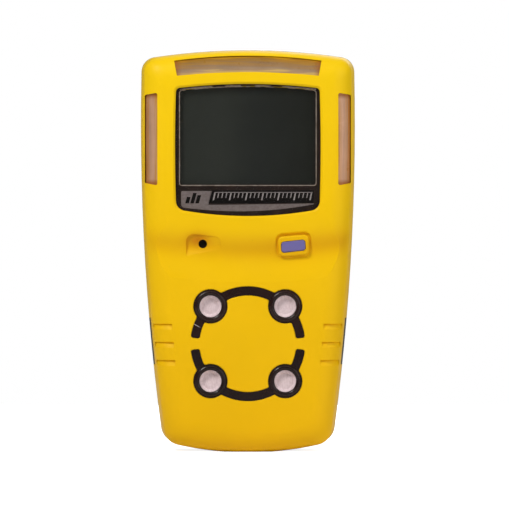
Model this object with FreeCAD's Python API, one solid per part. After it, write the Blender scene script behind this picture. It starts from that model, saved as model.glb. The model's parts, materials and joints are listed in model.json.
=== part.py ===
import FreeCAD
import Part
import math
import os
from collections import namedtuple

# Portable four-gas detector, worn on clothing by the steel clip on its back.
# X runs to the right, Y from the front face to the back, Z up the body. Millimetres.
# The origin is at the middle of the base, halfway between the button's face and the clip's thumb pad.

V = FreeCAD.Vector

# ------------------------------------------------------------------ driving dimensions
BODY_WIDTH = 60.3
BODY_HEIGHT = 112.6
BODY_DEPTH = 32.0
CLIP_STANDOFF = 12.5
KEY_PROUD = 0.5
WALL = 2.0

FRONT_Y = KEY_PROUD - (KEY_PROUD + BODY_DEPTH + CLIP_STANDOFF) / 2
BACK_Y = FRONT_Y + BODY_DEPTH
CLIP_BACK_Y = BACK_Y + CLIP_STANDOFF
PARTING_Y = FRONT_Y + 18.0
SEAL_THICKNESS = 0.4
FRONT_RIM_Y = PARTING_Y - SEAL_THICKNESS / 2
BACK_RIM_Y = PARTING_Y + SEAL_THICKNESS / 2
FRONT_INSIDE_Y = FRONT_Y + WALL

# Front shoulder: an elliptical roll from the drafted side wall to the flat face.
SHOULDER_WIDTH = 6.5
SHOULDER_DEPTH = 5.0
SIDE_DRAFT = 0.9
BACK_SHOULDER_WIDTH = 6.0
BACK_SHOULDER_DEPTH = 5.0
BACK_DRAFT = 0.5
SHOULDER_STEPS = 7
CORNER_SHRINK = 0.35
SMALLEST_CORNER = 0.6

# A bowed outline: four large arcs joined by four tangent corner arcs, symmetrical about x = 0.
Bowed = namedtuple(
    "Bowed",
    "half_width side_z side_r top_z top_r bottom_z bottom_r top_corner bottom_corner",
)
BODY = Bowed(
    half_width=BODY_WIDTH / 2,
    side_z=92.0,
    side_r=646.0,
    top_z=BODY_HEIGHT,
    top_r=180.0,
    bottom_z=-0.25,
    bottom_r=90.0,
    top_corner=4.2,
    bottom_corner=5.0,
)
WINDOW = Bowed(
    half_width=20.3,
    side_z=85.0,
    side_r=480.0,
    top_z=102.6,
    top_r=165.0,
    bottom_z=65.75,
    bottom_r=105.0,
    top_corner=1.2,
    bottom_corner=2.8,
)
APERTURE = Bowed(
    half_width=18.95,
    side_z=88.0,
    side_r=900.0,
    top_z=102.0,
    top_r=165.0,
    bottom_z=74.3,
    bottom_r=2500.0,
    top_corner=0.9,
    bottom_corner=0.5,
)

# Depths of the stack behind the window, each measured back from the front face.
WINDOW_RECESS = 0.3
WINDOW_BACK = 1.4
WINDOW_LEDGE = 0.7
WINDOW_LIP_WIDTH = 0.55
WINDOW_LIP_DEPTH = 0.45
MASK_THICKNESS = 0.15
PRINT_GAP = 0.1
LCD_FRONT = 2.4
LCD_BACK = 4.6
DISPLAY_BOARD_FRONT = 6.8
DISPLAY_BOARD_THICKNESS = 1.2
DISPLAY_BOARD_BOTTOM_Z = 52.0
LCD_HALF_WIDTH = 20.0
LCD_BOTTOM_Z = 72.8
LCD_TOP_Z = 102.8
LCD_FRAME_WALL = 0.8
LIGHT_GUIDE_THICKNESS = 1.8
ZEBRA_HALF_LENGTH = 17.0
GASKET_HALF_WIDTH = 19.1

# Alarm light bars, set in the top and side shoulders.
BAR_RECESS = 0.4
BAR_DEPTH = 5.7
SIDE_BAR_INNER_X = 25.2
SIDE_BAR_OUTER_X = 28.75
SIDE_BAR_BOTTOM_Z = 74.3
SIDE_BAR_TOP_Z = 100.1
SIDE_BAR_SLANT = 0.5
SIDE_BAR_CHAMFER = 0.7
BAR_CORNER = 0.5
TOP_BAR_HALF_TOP = 20.55
TOP_BAR_HALF_BOTTOM = 19.75
TOP_BAR_TOP_Z = 110.5
TOP_BAR_BOTTOM_Z = 105.85
TOP_BAR_TOP_SAG = 1.4
TOP_BAR_BOTTOM_SAG = 1.0
LAMP_HEIGHT = 0.9

# Buzzer port and push button below the window.
BUZZER_X = -12.55
BUZZER_Z = 58.0
BUZZER_PORT_R = 1.2
BUZZER_R = 6.0
MEMBRANE_R = 3.2
MEMBRANE_THICKNESS = 0.6
KEY_X = 12.7
KEY_Z = 57.4
KEY_TRAVEL = 0.8
KEY_CLEARANCE = 0.1
KEY_FLANGE = 0.8
KEY_FLANGE_THICKNESS = 0.75
SWITCH_HALF_WIDTH = 2.3
SWITCH_BODY_HEIGHT = 1.1
SWITCH_HEIGHT = 1.5
SWITCH_GAP = 0.1
PAD_PROUD = 0.35
PAD_EDGE = 0.5
PAD_GROOVE = 0.6
PAD_GROOVE_DEPTH = 0.9
POCKET_LIP_WIDTH = 0.4
POCKET_LIP_DEPTH = 0.35
POCKET_RISE = 0.8
# The pocket's floor, as (depth, height) down its section at the left-hand end.
POCKET_PROFILE = (
    (0.6, 62.4),
    (0.85, 61.0),
    (1.2, 59.4),
    (1.55, 57.9),
    (1.6, 56.9),
    (1.35, 55.8),
    (0.95, 54.8),
    (0.7, 53.8),
    (0.6, 52.6),
)

# Four gas sensors behind ports on one circle, sealed by two rubber inlays.
SENSOR_RING_Z = 30.2
SENSOR_RING_R = 14.72
SENSOR_ANGLES = (135, 45, 225, 315)
SENSOR_NAMES = (
    "oxygen_sensor",
    "combustible_gas_sensor",
    "carbon_monoxide_sensor",
    "hydrogen_sulfide_sensor",
)
SENSOR_R = 9.9
SENSOR_FACE_R = 8.0
SENSOR_INLET_R = 2.6
SENSOR_PIN_R = 0.6
SENSOR_PIN_RING_R = 6.5
SENSOR_FRONT_Y = FRONT_Y + 3.7
SENSOR_BACK_Y = -2.8
INLAY_BAND = 2.4
INLAY_DEPTH = 1.0
INLAY_GAP_ANGLE = 6.4
PORT_OUTER_R = 4.7
PORT_SLEEVE_R = 4.0
PORT_BORE_R = 3.05
PORT_LIP_RING_R = 3.74
PORT_LIP_R = 0.72
PORT_LIP_DEPTH = 0.27
INLAY_EDGE = 0.35
FILTER_RECESS = 0.7
FILTER_THICKNESS = 1.0
FILTER_EDGE = 0.12
FILTER_FLOOR_R = 2.2
FILTER_DISH_DEPTH = 0.65

# Waist: a valley across the front face, as (depth, height) down its section, on a long arc that rises to
# the sides.
WAIST_PROFILE = (
    (-0.04, 64.6),
    (0.0, 63.2),
    (0.05, 61.8),
    (0.2, 60.2),
    (0.46, 58.6),
    (0.74, 57.0),
    (0.87, 55.4),
    (0.82, 53.8),
    (0.58, 51.6),
    (0.28, 49.6),
    (0.08, 48.2),
    (0.0, 47.3),
    (-0.05, 46.7),
)
WAIST_ARC_R = 170.0
WAIST_ARC_HALF_ANGLE = 13.0

# Grip ribs on the lower shoulders: each a shallow ramp that ends in a step at its top.
RIB_TOPS = (35.75, 30.7, 25.65)
RIB_OUTER_X = (26.3, 25.8, 25.4)
RIB_LENGTH = 5.2
RIB_DEPTH = 0.6
RIB_HEIGHT = 1.6

# The back shell's side tabs, let into the front shell.
TAB_BOTTOM_Z = 24.3
TAB_TOP_Z = 37.2
TAB_FRONT_Y = -12.0
TAB_THICKNESS = 1.1
TAB_GAP = 0.1

# Boards, battery and vibration motor.
MAIN_BOARD_FRONT_Y = -1.6
MAIN_BOARD_THICKNESS = 1.6
# Each chip as left, right, low and high edges and height; the coil as x, z, radius and height.
BOARD_CHIPS = (
    (-17, -7, 80, 90, 1.4),
    (-16, -9, 68, 73, 1.2),
    (9, 14, 84, 90, 1.6),
    (-6, 6, 36, 42, 1.2),
    (-16, -10, 20, 24, 2.0),
)
BOARD_COIL = (14, 74, 3.0, 2.6)
BATTERY_HALF_WIDTH = 18.0
BATTERY_FRONT_Y = -13.4
BATTERY_BACK_Y = -3.4
BATTERY_BOTTOM_Z = 58.5
BATTERY_TOP_Z = 100.0
PAD_INSET = 4.0
MOTOR_Y = -4.8
MOTOR_Z = 54.2
MOTOR_R = 2.1
MOTOR_LEFT_X = -14.0
MOTOR_RIGHT_X = -4.0
MOTOR_SHAFT_R = 0.4
MOTOR_CLEARANCE = 0.05
WEIGHT_LENGTH = 3.6

# Fasteners.
CASE_SCREWS = ((-24.0, 105.0), (24.0, 105.0), (-20.3, 9.5), (20.3, 9.5))
CASE_BOSS_R = 2.8
CASE_HEAD_R = 2.3
CASE_SHANK_R = 1.1
CASE_SCREW_WELL = 2.6
INSERT_LENGTH = 6.0
INSERT_R = 1.9
BOARD_POST_X = 23.0
BOARD_POST_Z = 48.0
BOARD_POST_R = 2.2

# Charging port and infrared window in the base, and the label on the back.
PORT_HALF_WIDTH = 6.2
PORT_FRONT_Y = -0.6
PORT_BACK_Y = 5.0
PORT_DEPTH = 5.6
PORT_WALL = 1.2
CONTACT_COUNT = 4
CONTACT_PITCH = 2.8
INFRARED_BOX = (-13.5, -9.5, 0.5, 3.5)
LABEL_HALF_WIDTH = 17.0
LABEL_BOTTOM_Z = 15.0
LABEL_TOP_Z = 44.0
LABEL_THICKNESS = 0.25

# Clip: a stamped base with two ears, a toothed arm between them and a sprung pin.
STEEL = 1.0
CLIP_HALF_WIDTH = 8.5
CLIP_BOTTOM_Z = 50.0
CLIP_TOP_Z = 93.0
PIN_Y = 14.6
PIN_Z = 81.0
PIN_R = 1.25
PIN_CLEARANCE = 0.05
PIN_HEAD = 0.8
BASE_EAR_R = 3.4
ARM_EAR_R = 3.0
ARM_HALF_WIDTH = 6.9
ARM_OVER_PIN_Y = 18.2
ARM_CENTRELINE = (
    (CLIP_BACK_Y - 0.5, 98.0),
    (CLIP_BACK_Y - 1.0, 94.0),
    (19.3, 87.0),
    (18.2, 80.0),
    (17.9, 70.0),
    (17.6, 61.0),
    (16.9, 57.0),
    (14.8, 53.6),
    (11.6, 52.4),
    (10.0, 52.2),
)
ARM_HOLE_R = 3.6
CLIP_SCREW_Z = 67.0
CLIP_SCREW_HEAD_R = 2.9
SPRING_WIRE_R = 0.4
SPRING_COIL_R = 1.85
SPRING_PITCH = 0.76
SPRING_TURNS = 7
SPRING_LEG = 6.8
SPRING_LEG_LEAN = 0.19
TEETH = 6
TOOTH_HEIGHT = 1.1


# Further than the object reaches from the origin.
BEYOND = 130.0


# ------------------------------------------------------------------ helpers
def block(x0, x1, y0, y1, z0, z1):
    """A box between two corners."""
    return Part.makeBox(x1 - x0, y1 - y0, z1 - z0, V(x0, y0, z0))


def rod(x, z, radius, y0, y1):
    """A cylinder along Y."""
    return Part.makeCylinder(radius, y1 - y0, V(x, y0, z), V(0, 1, 0))


def rod_x(y, z, radius, x0, x1):
    """A cylinder along X."""
    return Part.makeCylinder(radius, x1 - x0, V(x0, y, z), V(1, 0, 0))


def tube(x, z, outer, inner, y0, y1):
    """A ring along Y."""
    return rod(x, z, outer, y0, y1).cut(rod(x, z, inner, y0, y1))


def prism(wire, length):
    """The area inside a wire, carried along +Y."""
    return Part.Face(wire).extrude(V(0, length, 0))


def mirrored(shape):
    """The same shape on the other side of x = 0."""
    return shape.mirror(V(0, 0, 0), V(1, 0, 0))


def fused(shapes):
    """One shape from several that touch."""
    return shapes[0].multiFuse(shapes[1:]).removeSplitter()


def edges_at_y(shape, y):
    """The edges that lie wholly in one plane across Y."""
    flat = []
    for edge in shape.Edges:
        if abs(edge.BoundBox.YMin - y) < 0.01 and abs(edge.BoundBox.YMax - y) < 0.01:
            flat.append(edge)
    return flat


def arc_about(centre, start, end):
    """The shorter arc from start to end about centre."""
    radius = (start - centre).Length
    middle = (start + end) * 0.5 - centre
    middle.normalize()
    return Part.Arc(start, centre + middle * radius, end).toShape()


def crossing(centre_a, radius_a, centre_b, radius_b, near):
    """Where two circles in an XZ plane cross, on the side of the point near."""
    between = centre_b - centre_a
    span = between.Length
    along = (radius_a**2 - radius_b**2 + span**2) / (2 * span)
    across = math.sqrt(radius_a**2 - along**2)
    between.normalize()
    normal = V(-between.z, 0, between.x)
    foot = centre_a + between * along
    options = (foot + normal * across, foot - normal * across)
    return min(options, key=lambda point: (point - near).Length)


def tangent_corner(side, side_r, cap, cap_r, corner_r, near):
    """Centre and ends of the arc that rounds the meeting of a side arc and an end arc."""
    centre = crossing(side, side_r - corner_r, cap, cap_r - corner_r, near)
    on_side = side + (centre - side) * (side_r / (side_r - corner_r))
    on_cap = cap + (centre - cap) * (cap_r / (cap_r - corner_r))
    return centre, on_side, on_cap


def bowed_wire(frame, y, inset=0.0, bottom_inset=None):
    """A bowed outline at one y, moved inwards by inset, or by its own amount at the bottom."""
    if bottom_inset is None:
        bottom_inset = inset
    side = V(frame.half_width - frame.side_r, y, frame.side_z)
    top = V(0, y, frame.top_z - frame.top_r)
    bottom = V(0, y, frame.bottom_z + frame.bottom_r)
    side_r = frame.side_r - inset
    top_r = frame.top_r - inset
    bottom_r = frame.bottom_r - bottom_inset
    upper_r = max(SMALLEST_CORNER, frame.top_corner - CORNER_SHRINK * inset)
    lower_r = max(SMALLEST_CORNER, frame.bottom_corner - CORNER_SHRINK * bottom_inset)
    upper_near = V(frame.half_width, y, frame.top_z)
    lower_near = V(frame.half_width, y, frame.bottom_z)
    upper, upper_side, upper_cap = tangent_corner(side, side_r, top, top_r, upper_r, upper_near)
    lower, lower_side, lower_cap = tangent_corner(side, side_r, bottom, bottom_r, lower_r, lower_near)
    flip = lambda point: V(-point.x, point.y, point.z)
    edges = [
        arc_about(top, flip(upper_cap), upper_cap),
        arc_about(upper, upper_cap, upper_side),
        arc_about(side, upper_side, lower_side),
        arc_about(lower, lower_side, lower_cap),
        arc_about(bottom, lower_cap, flip(lower_cap)),
        arc_about(flip(lower), flip(lower_cap), flip(lower_side)),
        arc_about(flip(side), flip(lower_side), flip(upper_side)),
        arc_about(flip(upper), flip(upper_side), flip(upper_cap)),
    ]
    return Part.Wire(edges)


def rounded_wire(points, radius, y):
    """A closed outline through (x, z) points with rounded corners. y is a number, or a plane as y(x, z)."""
    depth = y if callable(y) else lambda x, z: y
    lift = lambda point: V(point.x, depth(point.x, point.z), point.z)
    corners = [V(x, 0, z) for x, z in points]
    arcs = []
    for index, corner in enumerate(corners):
        before = corners[index - 1] - corner
        after = corners[(index + 1) % len(corners)] - corner
        before.normalize()
        after.normalize()
        half = before.getAngle(after) / 2
        reach = radius / math.tan(half)
        inward = before + after
        inward.normalize()
        centre = corner + inward * (radius / math.sin(half))
        start = corner + before * reach
        end = corner + after * reach
        arcs.append((start, centre - inward * radius, end))
    edges = []
    for index, (start, middle, end) in enumerate(arcs):
        edges.append(Part.Arc(lift(start), lift(middle), lift(end)).toShape())
        following = arcs[(index + 1) % len(arcs)][0]
        edges.append(Part.LineSegment(lift(end), lift(following)).toShape())
    return Part.Wire(edges)


def shoulder(wires):
    """A smooth roll through several outlines."""
    return Part.makeLoft(wires, True, False)


def wall(wires):
    """A straight wall between two outlines."""
    return Part.makeLoft(wires, True, True)


def front_body(offset):
    """The solid inside the front shell's outer surface, or inside a surface that far beneath it."""
    start_y = BACK_RIM_Y + 0.4
    shoulder_y = FRONT_Y + SHOULDER_DEPTH
    straight = wall(
        [
            bowed_wire(BODY, start_y, offset),
            bowed_wire(BODY, shoulder_y, offset + SIDE_DRAFT, offset),
        ]
    )
    rolled = []
    for step in range(SHOULDER_STEPS + 1):
        turn = math.pi / 2 * step / SHOULDER_STEPS
        roll = (SHOULDER_WIDTH - offset) * (1 - math.cos(turn))
        y = FRONT_Y + offset + (SHOULDER_DEPTH - offset) * (1 - math.sin(turn))
        rolled.append(bowed_wire(BODY, y, offset + SIDE_DRAFT + roll, offset + roll))
    return straight.fuse(shoulder(rolled))


def back_body(offset):
    """The solid inside the back shell's outer surface, or inside a surface that far beneath it."""
    start_y = BACK_RIM_Y - (1.0 if offset else 0.0)
    shoulder_y = BACK_Y - BACK_SHOULDER_DEPTH
    straight = wall(
        [
            bowed_wire(BODY, start_y, offset),
            bowed_wire(BODY, shoulder_y, offset + BACK_DRAFT, offset),
        ]
    )
    rolled = []
    for step in range(SHOULDER_STEPS + 1):
        turn = math.pi / 2 * step / SHOULDER_STEPS
        roll = (BACK_SHOULDER_WIDTH - offset) * (1 - math.cos(turn))
        y = BACK_Y - offset - (BACK_SHOULDER_DEPTH - offset) * (1 - math.sin(turn))
        rolled.append(bowed_wire(BODY, y, offset + BACK_DRAFT + roll, offset + roll))
    return straight.fuse(shoulder(rolled))


def sensor_place(angle):
    """(x, z) of a sensor on the ring."""
    turn = math.radians(angle)
    return SENSOR_RING_R * math.cos(turn), SENSOR_RING_Z + SENSOR_RING_R * math.sin(turn)


def star_socket(x, z, radius, y0, y1):
    """A six-lobed driver recess along Y."""
    lobes = [rod(x, z, radius * 0.74, y0, y1)]
    for index in range(6):
        turn = math.radians(60 * index)
        lobe_x = x + radius * 0.74 * math.cos(turn)
        lobe_z = z + radius * 0.74 * math.sin(turn)
        lobes.append(rod(lobe_x, lobe_z, radius * 0.26, y0, y1))
    return fused(lobes)


def above_base(shape):
    """The part of a shape that lies above the flat that the object stands on."""
    return shape.common(block(-BEYOND, BEYOND, -BEYOND, BEYOND, 0, BEYOND))


# ------------------------------------------------------------------ outlines on the front face
def top_bar_outline(y):
    """Opening of the top light bar: two arcs and two slanted ends."""
    top_left = V(-TOP_BAR_HALF_TOP, y, TOP_BAR_TOP_Z - TOP_BAR_TOP_SAG)
    top_right = V(TOP_BAR_HALF_TOP, y, TOP_BAR_TOP_Z - TOP_BAR_TOP_SAG)
    low_right = V(TOP_BAR_HALF_BOTTOM, y, TOP_BAR_BOTTOM_Z - TOP_BAR_BOTTOM_SAG)
    low_left = V(-TOP_BAR_HALF_BOTTOM, y, TOP_BAR_BOTTOM_Z - TOP_BAR_BOTTOM_SAG)
    edges = [
        Part.Arc(top_left, V(0, y, TOP_BAR_TOP_Z), top_right).toShape(),
        Part.LineSegment(top_right, low_right).toShape(),
        Part.Arc(low_right, V(0, y, TOP_BAR_BOTTOM_Z), low_left).toShape(),
        Part.LineSegment(low_left, top_left).toShape(),
    ]
    return Part.Wire(edges)


def side_bar_outline(y):
    """Opening of the right light bar."""
    points = (
        (SIDE_BAR_INNER_X, SIDE_BAR_BOTTOM_Z),
        (SIDE_BAR_OUTER_X, SIDE_BAR_BOTTOM_Z + SIDE_BAR_CHAMFER),
        (SIDE_BAR_OUTER_X, SIDE_BAR_TOP_Z - SIDE_BAR_SLANT),
        (SIDE_BAR_INNER_X, SIDE_BAR_TOP_Z),
    )
    return rounded_wire(points, BAR_CORNER, y)


def bar_prism(wire_at, y0):
    """A light bar's opening, cut to its full depth."""
    return prism(wire_at(y0), FRONT_Y + BAR_DEPTH - y0)


def spline_face(profile, x, clear_depth):
    """The area in front of a smooth curve through (depth, height) points, in a plane across X."""
    points = [V(x, FRONT_Y + depth, z) for depth, z in profile]
    curve = Part.BSplineCurve()
    curve.interpolate(points)
    upper = V(x, FRONT_Y - clear_depth, points[0].z)
    lower = V(x, FRONT_Y - clear_depth, points[-1].z)
    edges = [curve.toShape()]
    for start, end in ((points[-1], lower), (lower, upper), (upper, points[0])):
        edges.append(Part.LineSegment(start, end).toShape())
    return Part.Face(Part.Wire(edges))


def pocket():
    """The hollow round the buzzer port: deepest by its upper left corner, and level at its foot and right."""
    rim = ((-17.3, 60.9), (-7.2, 59.8), (-8.0, 53.3), (-17.1, 53.5))
    hollow = prism(rounded_wire(rim, 2.0, FRONT_Y - 1), WALL + 1)
    left = rim[0][0] - 1
    floor = spline_face(POCKET_PROFILE, left, 2.0).extrude(V(rim[1][0] + 1 - left, -POCKET_RISE, 0))
    lip = Part.makeLoft(
        [
            rounded_wire(rim, 2.0, FRONT_Y - 0.01).makeOffset2D(POCKET_LIP_WIDTH),
            rounded_wire(rim, 2.0, FRONT_Y + POCKET_LIP_DEPTH),
        ],
        True,
        True,
    )
    return [hollow.common(floor), lip.common(floor)]


def pad_outline(y):
    """The raised pad that surrounds the button."""
    points = ((8.3, 60.0), (17.0, 60.7), (17.1, 55.0), (8.5, 54.4))
    return rounded_wire(points, 1.4, y)


def key_outline(y):
    """The button's own slanted outline."""
    points = ((9.3, 58.5), (15.9, 59.2), (16.1, 56.3), (9.4, 55.5))
    return rounded_wire(points, 0.8, y)


def sensor_inlay(upper, y0, y1):
    """Half of the inlay: a band on the ring's circle that joins two port discs."""
    outer = SENSOR_RING_R + INLAY_BAND / 2
    inner = SENSOR_RING_R - INLAY_BAND / 2
    start = INLAY_GAP_ANGLE if upper else 180 + INLAY_GAP_ANGLE
    sweep = 180 - 2 * INLAY_GAP_ANGLE
    centre = V(0, y0, SENSOR_RING_Z)
    axis = V(0, -1, 0)
    band = Part.makeCylinder(outer, y1 - y0, centre, V(0, 1, 0))
    band = band.cut(Part.makeCylinder(inner, y1 - y0, centre, V(0, 1, 0)))
    begin = V(math.cos(math.radians(start)), 0, math.sin(math.radians(start))) * (2 * outer)
    face = Part.Face(Part.makePolygon([centre, centre + begin, centre + V(begin.x, 0, 0), centre]))
    keep = block(-2 * outer, 2 * outer, y0, y1, 0, SENSOR_RING_Z)
    if upper:
        keep = block(-2 * outer, 2 * outer, y0, y1, SENSOR_RING_Z, SENSOR_RING_Z + 2 * outer)
    band = band.common(keep)
    gap = face.extrude(V(0, y1 - y0, 0))
    band = band.cut(gap).cut(mirrored(gap))
    discs = []
    for angle in SENSOR_ANGLES:
        x, z = sensor_place(angle)
        if (z > SENSOR_RING_Z) == upper:
            discs.append(rod(x, z, PORT_OUTER_R, y0, y1))
    body = fused([band] + discs)
    return body.makeFillet(0.55, [edge for edge in body.Edges if is_upright(edge, y0, y1)])


def is_upright(edge, y0, y1):
    """Whether an edge is a straight line right through from y0 to y1."""
    box = edge.BoundBox
    return box.XLength < 0.01 and box.ZLength < 0.01 and abs(box.YLength - (y1 - y0)) < 0.01


# ------------------------------------------------------------------ casing
def rib_cutters(outer):
    """Skin removed to make the grip ribs: ramps that are deepest along their top edge."""
    lean = math.degrees(math.atan2(RIB_DEPTH, RIB_HEIGHT))
    skin_depth = SHOULDER_DEPTH + 4
    cutters = []
    for top, outer_x in zip(RIB_TOPS, RIB_OUTER_X):
        foot = top - RIB_HEIGHT
        bar = block(outer_x - RIB_LENGTH, outer_x, FRONT_Y - 1, FRONT_Y + skin_depth, foot, top)
        nearby = block(0, BODY_WIDTH, FRONT_Y, FRONT_Y + 2 * skin_depth, foot - skin_depth, top + skin_depth)
        ramp = outer.common(nearby)
        ramp.rotate(V(0, FRONT_Y, foot), V(1, 0, 0), -lean)
        cutter = outer.common(bar).cut(ramp)
        cutters += [cutter, mirrored(cutter)]
    return cutters


def waist_cutter():
    """A long shallow valley across the front face, level with the button, steeper on its upper side."""
    centre = V(0, 0, BUZZER_Z + WAIST_ARC_R)
    section = spline_face(WAIST_PROFILE, 0, 2.0)
    section.rotate(centre, V(0, 1, 0), -WAIST_ARC_HALF_ANGLE)
    return section.revolve(centre, V(0, 1, 0), 2 * WAIST_ARC_HALF_ANGLE)


def tab_region(gap):
    """The space of the right-hand side tab, widened all round by gap."""
    return block(20, 40, TAB_FRONT_Y - gap, BACK_RIM_Y + 0.4, TAB_BOTTOM_Z - gap, TAB_TOP_Z + gap)


def front_shell(outer):
    """Yellow front casing with its openings, bosses and posts."""
    inner = front_body(WALL)
    shell = outer.cut(inner)
    supports = []
    for x, z in CASE_SCREWS:
        supports.append(rod(x, z, CASE_BOSS_R, FRONT_Y, FRONT_RIM_Y))
    shell = shell.fuse([support.common(outer) for support in supports])
    shell = shell.common(block(-BEYOND, BEYOND, -BEYOND, FRONT_RIM_Y, 0, BEYOND))
    posts = []
    for side in (-1, 1):
        posts.append(rod(side * BOARD_POST_X, BOARD_POST_Z, BOARD_POST_R, FRONT_Y + 3, MAIN_BOARD_FRONT_Y))
    shell = shell.fuse(posts)
    reach = FRONT_Y - 1
    cuts = [
        prism(bowed_wire(WINDOW, reach), WINDOW_BACK + 1),
        prism(bowed_wire(WINDOW, reach, WINDOW_LEDGE), 5),
        Part.makeLoft(
            [
                bowed_wire(WINDOW, FRONT_Y - 0.01, -WINDOW_LIP_WIDTH),
                bowed_wire(WINDOW, FRONT_Y + WINDOW_LIP_DEPTH, 0.0),
            ],
            True,
            True,
        ),
        bar_prism(top_bar_outline, reach),
        bar_prism(side_bar_outline, reach),
        mirrored(bar_prism(side_bar_outline, reach)),
        rod(BUZZER_X, BUZZER_Z, BUZZER_PORT_R, reach, FRONT_Y + 4),
    ]
    tab_skin = outer.cut(front_body(TAB_THICKNESS)).common(tab_region(TAB_GAP))
    cuts += [tab_skin, mirrored(tab_skin)]
    for upper in (True, False):
        cuts.append(sensor_inlay(upper, FRONT_Y, FRONT_Y + INLAY_DEPTH))
    for angle in SENSOR_ANGLES:
        x, z = sensor_place(angle)
        cuts.append(rod(x, z, PORT_SLEEVE_R, reach, FRONT_Y + 4))
    for x, z in CASE_SCREWS:
        cuts.append(rod(x, z, INSERT_R, FRONT_RIM_Y - INSERT_LENGTH, 0))
    for side in (-1, 1):
        cuts.append(rod(side * BOARD_POST_X, BOARD_POST_Z, 0.9, MAIN_BOARD_FRONT_Y - 5, 0))
    cuts += pocket()
    cuts += rib_cutters(outer)
    cuts.append(waist_cutter())
    for cutter in cuts:
        shell = shell.cut(cutter)
    return button_surround(softened_inlay(shell))


def softened_inlay(shell):
    """Rounds the front edges of the two pockets that hold the rubber inlays."""
    centre = V(0, FRONT_Y, SENSOR_RING_Z)
    reach = SENSOR_RING_R + PORT_OUTER_R + 1
    edges = [edge for edge in edges_at_y(shell, FRONT_Y) if (edge.CenterOfMass - centre).Length < reach]
    return shell.makeFillet(INLAY_EDGE, edges)


def button_surround(shell):
    """The button's groove and raised pad, with the slot that the key slides in."""
    groove = prism(pad_outline(FRONT_Y).makeOffset2D(PAD_GROOVE), PAD_GROOVE_DEPTH)
    slope = Part.makeLoft(
        [
            pad_outline(FRONT_Y - 0.01).makeOffset2D(PAD_GROOVE + 0.5),
            pad_outline(FRONT_Y + 0.5).makeOffset2D(PAD_GROOVE),
        ],
        True,
        True,
    )
    pad = prism(pad_outline(FRONT_Y - PAD_PROUD), PAD_PROUD + WALL)
    pad = pad.makeFillet(PAD_EDGE, edges_at_y(pad, FRONT_Y - PAD_PROUD))
    slot = prism(key_outline(FRONT_Y - 1).makeOffset2D(KEY_CLEARANCE), 5)
    return shell.cut(groove).cut(slope).fuse(pad).removeSplitter().cut(slot)


def back_shell(outer_front):
    """Black back casing with its side tabs, screw wells and seats for clip, label and connector."""
    shell = back_body(0).cut(back_body(WALL))
    bosses = []
    for x, z in CASE_SCREWS:
        bosses.append(rod(x, z, CASE_BOSS_R + 0.3, BACK_RIM_Y, BACK_Y).common(back_body(0)))
    bosses.append(rod(0, CLIP_SCREW_Z, 4.0, 3.5, BACK_Y - 1))
    skin = outer_front.cut(front_body(TAB_THICKNESS)).common(tab_region(0))
    shell = shell.fuse(bosses + [skin, mirrored(skin)]).removeSplitter()
    shell = above_base(shell)
    cuts = []
    for x, z in CASE_SCREWS:
        cuts.append(rod(x, z, CASE_HEAD_R + 0.3, BACK_Y - CASE_SCREW_WELL, BACK_Y + 1))
        cuts.append(rod(x, z, CASE_SHANK_R + 0.2, BACK_RIM_Y - 1, BACK_Y))
    cuts.append(rod(0, CLIP_SCREW_Z, 1.5, 4.5, BACK_Y + 1))
    label = (
        (-LABEL_HALF_WIDTH, LABEL_BOTTOM_Z),
        (LABEL_HALF_WIDTH, LABEL_BOTTOM_Z),
        (LABEL_HALF_WIDTH, LABEL_TOP_Z),
        (-LABEL_HALF_WIDTH, LABEL_TOP_Z),
    )
    cuts.append(prism(rounded_wire(label, 1.5, BACK_Y - LABEL_THICKNESS), 1))
    cuts.append(connector_envelope())
    cuts.append(block(*INFRARED_BOX, -1, 4))
    for cutter in cuts:
        shell = shell.cut(cutter)
    return shell


def perimeter_seal():
    """Rubber cord squeezed between the rims of the two shells."""
    ring = prism(bowed_wire(BODY, FRONT_RIM_Y, 1.2), SEAL_THICKNESS)
    return ring.cut(prism(bowed_wire(BODY, FRONT_RIM_Y, 1.95), SEAL_THICKNESS))


def light_bar(wire_at, recessed):
    """Translucent diffuser that fills a light opening and follows the shoulder."""
    return bar_prism(wire_at, FRONT_Y - 1).common(recessed)


# ------------------------------------------------------------------ display and button
def display_window():
    """Clear window with a softened front edge, resting on the ledge of its opening."""
    front = FRONT_Y + WINDOW_RECESS
    thickness = WINDOW_BACK - WINDOW_RECESS - MASK_THICKNESS - PRINT_GAP
    lens = prism(bowed_wire(WINDOW, front, 0.05), thickness)
    return lens.makeFillet(0.25, edges_at_y(lens, front))


def window_mask():
    """Black printed border on the window's inner face."""
    y = FRONT_Y + WINDOW_BACK - MASK_THICKNESS
    mask = prism(bowed_wire(WINDOW, y, 0.05), MASK_THICKNESS)
    return mask.cut(prism(bowed_wire(APERTURE, y), MASK_THICKNESS))


def display_gasket():
    """Foam frame between the casing and the display glass."""
    y = FRONT_INSIDE_Y
    depth = LCD_FRONT - WALL
    outer = block(-LCD_HALF_WIDTH, LCD_HALF_WIDTH, y, y + depth, LCD_BOTTOM_Z, LCD_TOP_Z)
    inner = block(-GASKET_HALF_WIDTH, GASKET_HALF_WIDTH, y, y + depth, LCD_BOTTOM_Z + 1.2, LCD_TOP_Z - 0.8)
    return outer.cut(inner)


def lcd_panel():
    """Liquid-crystal glass: a larger rear sheet and a front sheet that leaves a contact ledge."""
    middle = FRONT_Y + (LCD_FRONT + LCD_BACK) / 2
    w = LCD_HALF_WIDTH
    front = block(-w, w, FRONT_Y + LCD_FRONT, middle, LCD_BOTTOM_Z, LCD_TOP_Z)
    rear = block(-w, w, middle, FRONT_Y + LCD_BACK, LCD_BOTTOM_Z + 2, LCD_TOP_Z)
    return front.fuse(rear).removeSplitter()


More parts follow.
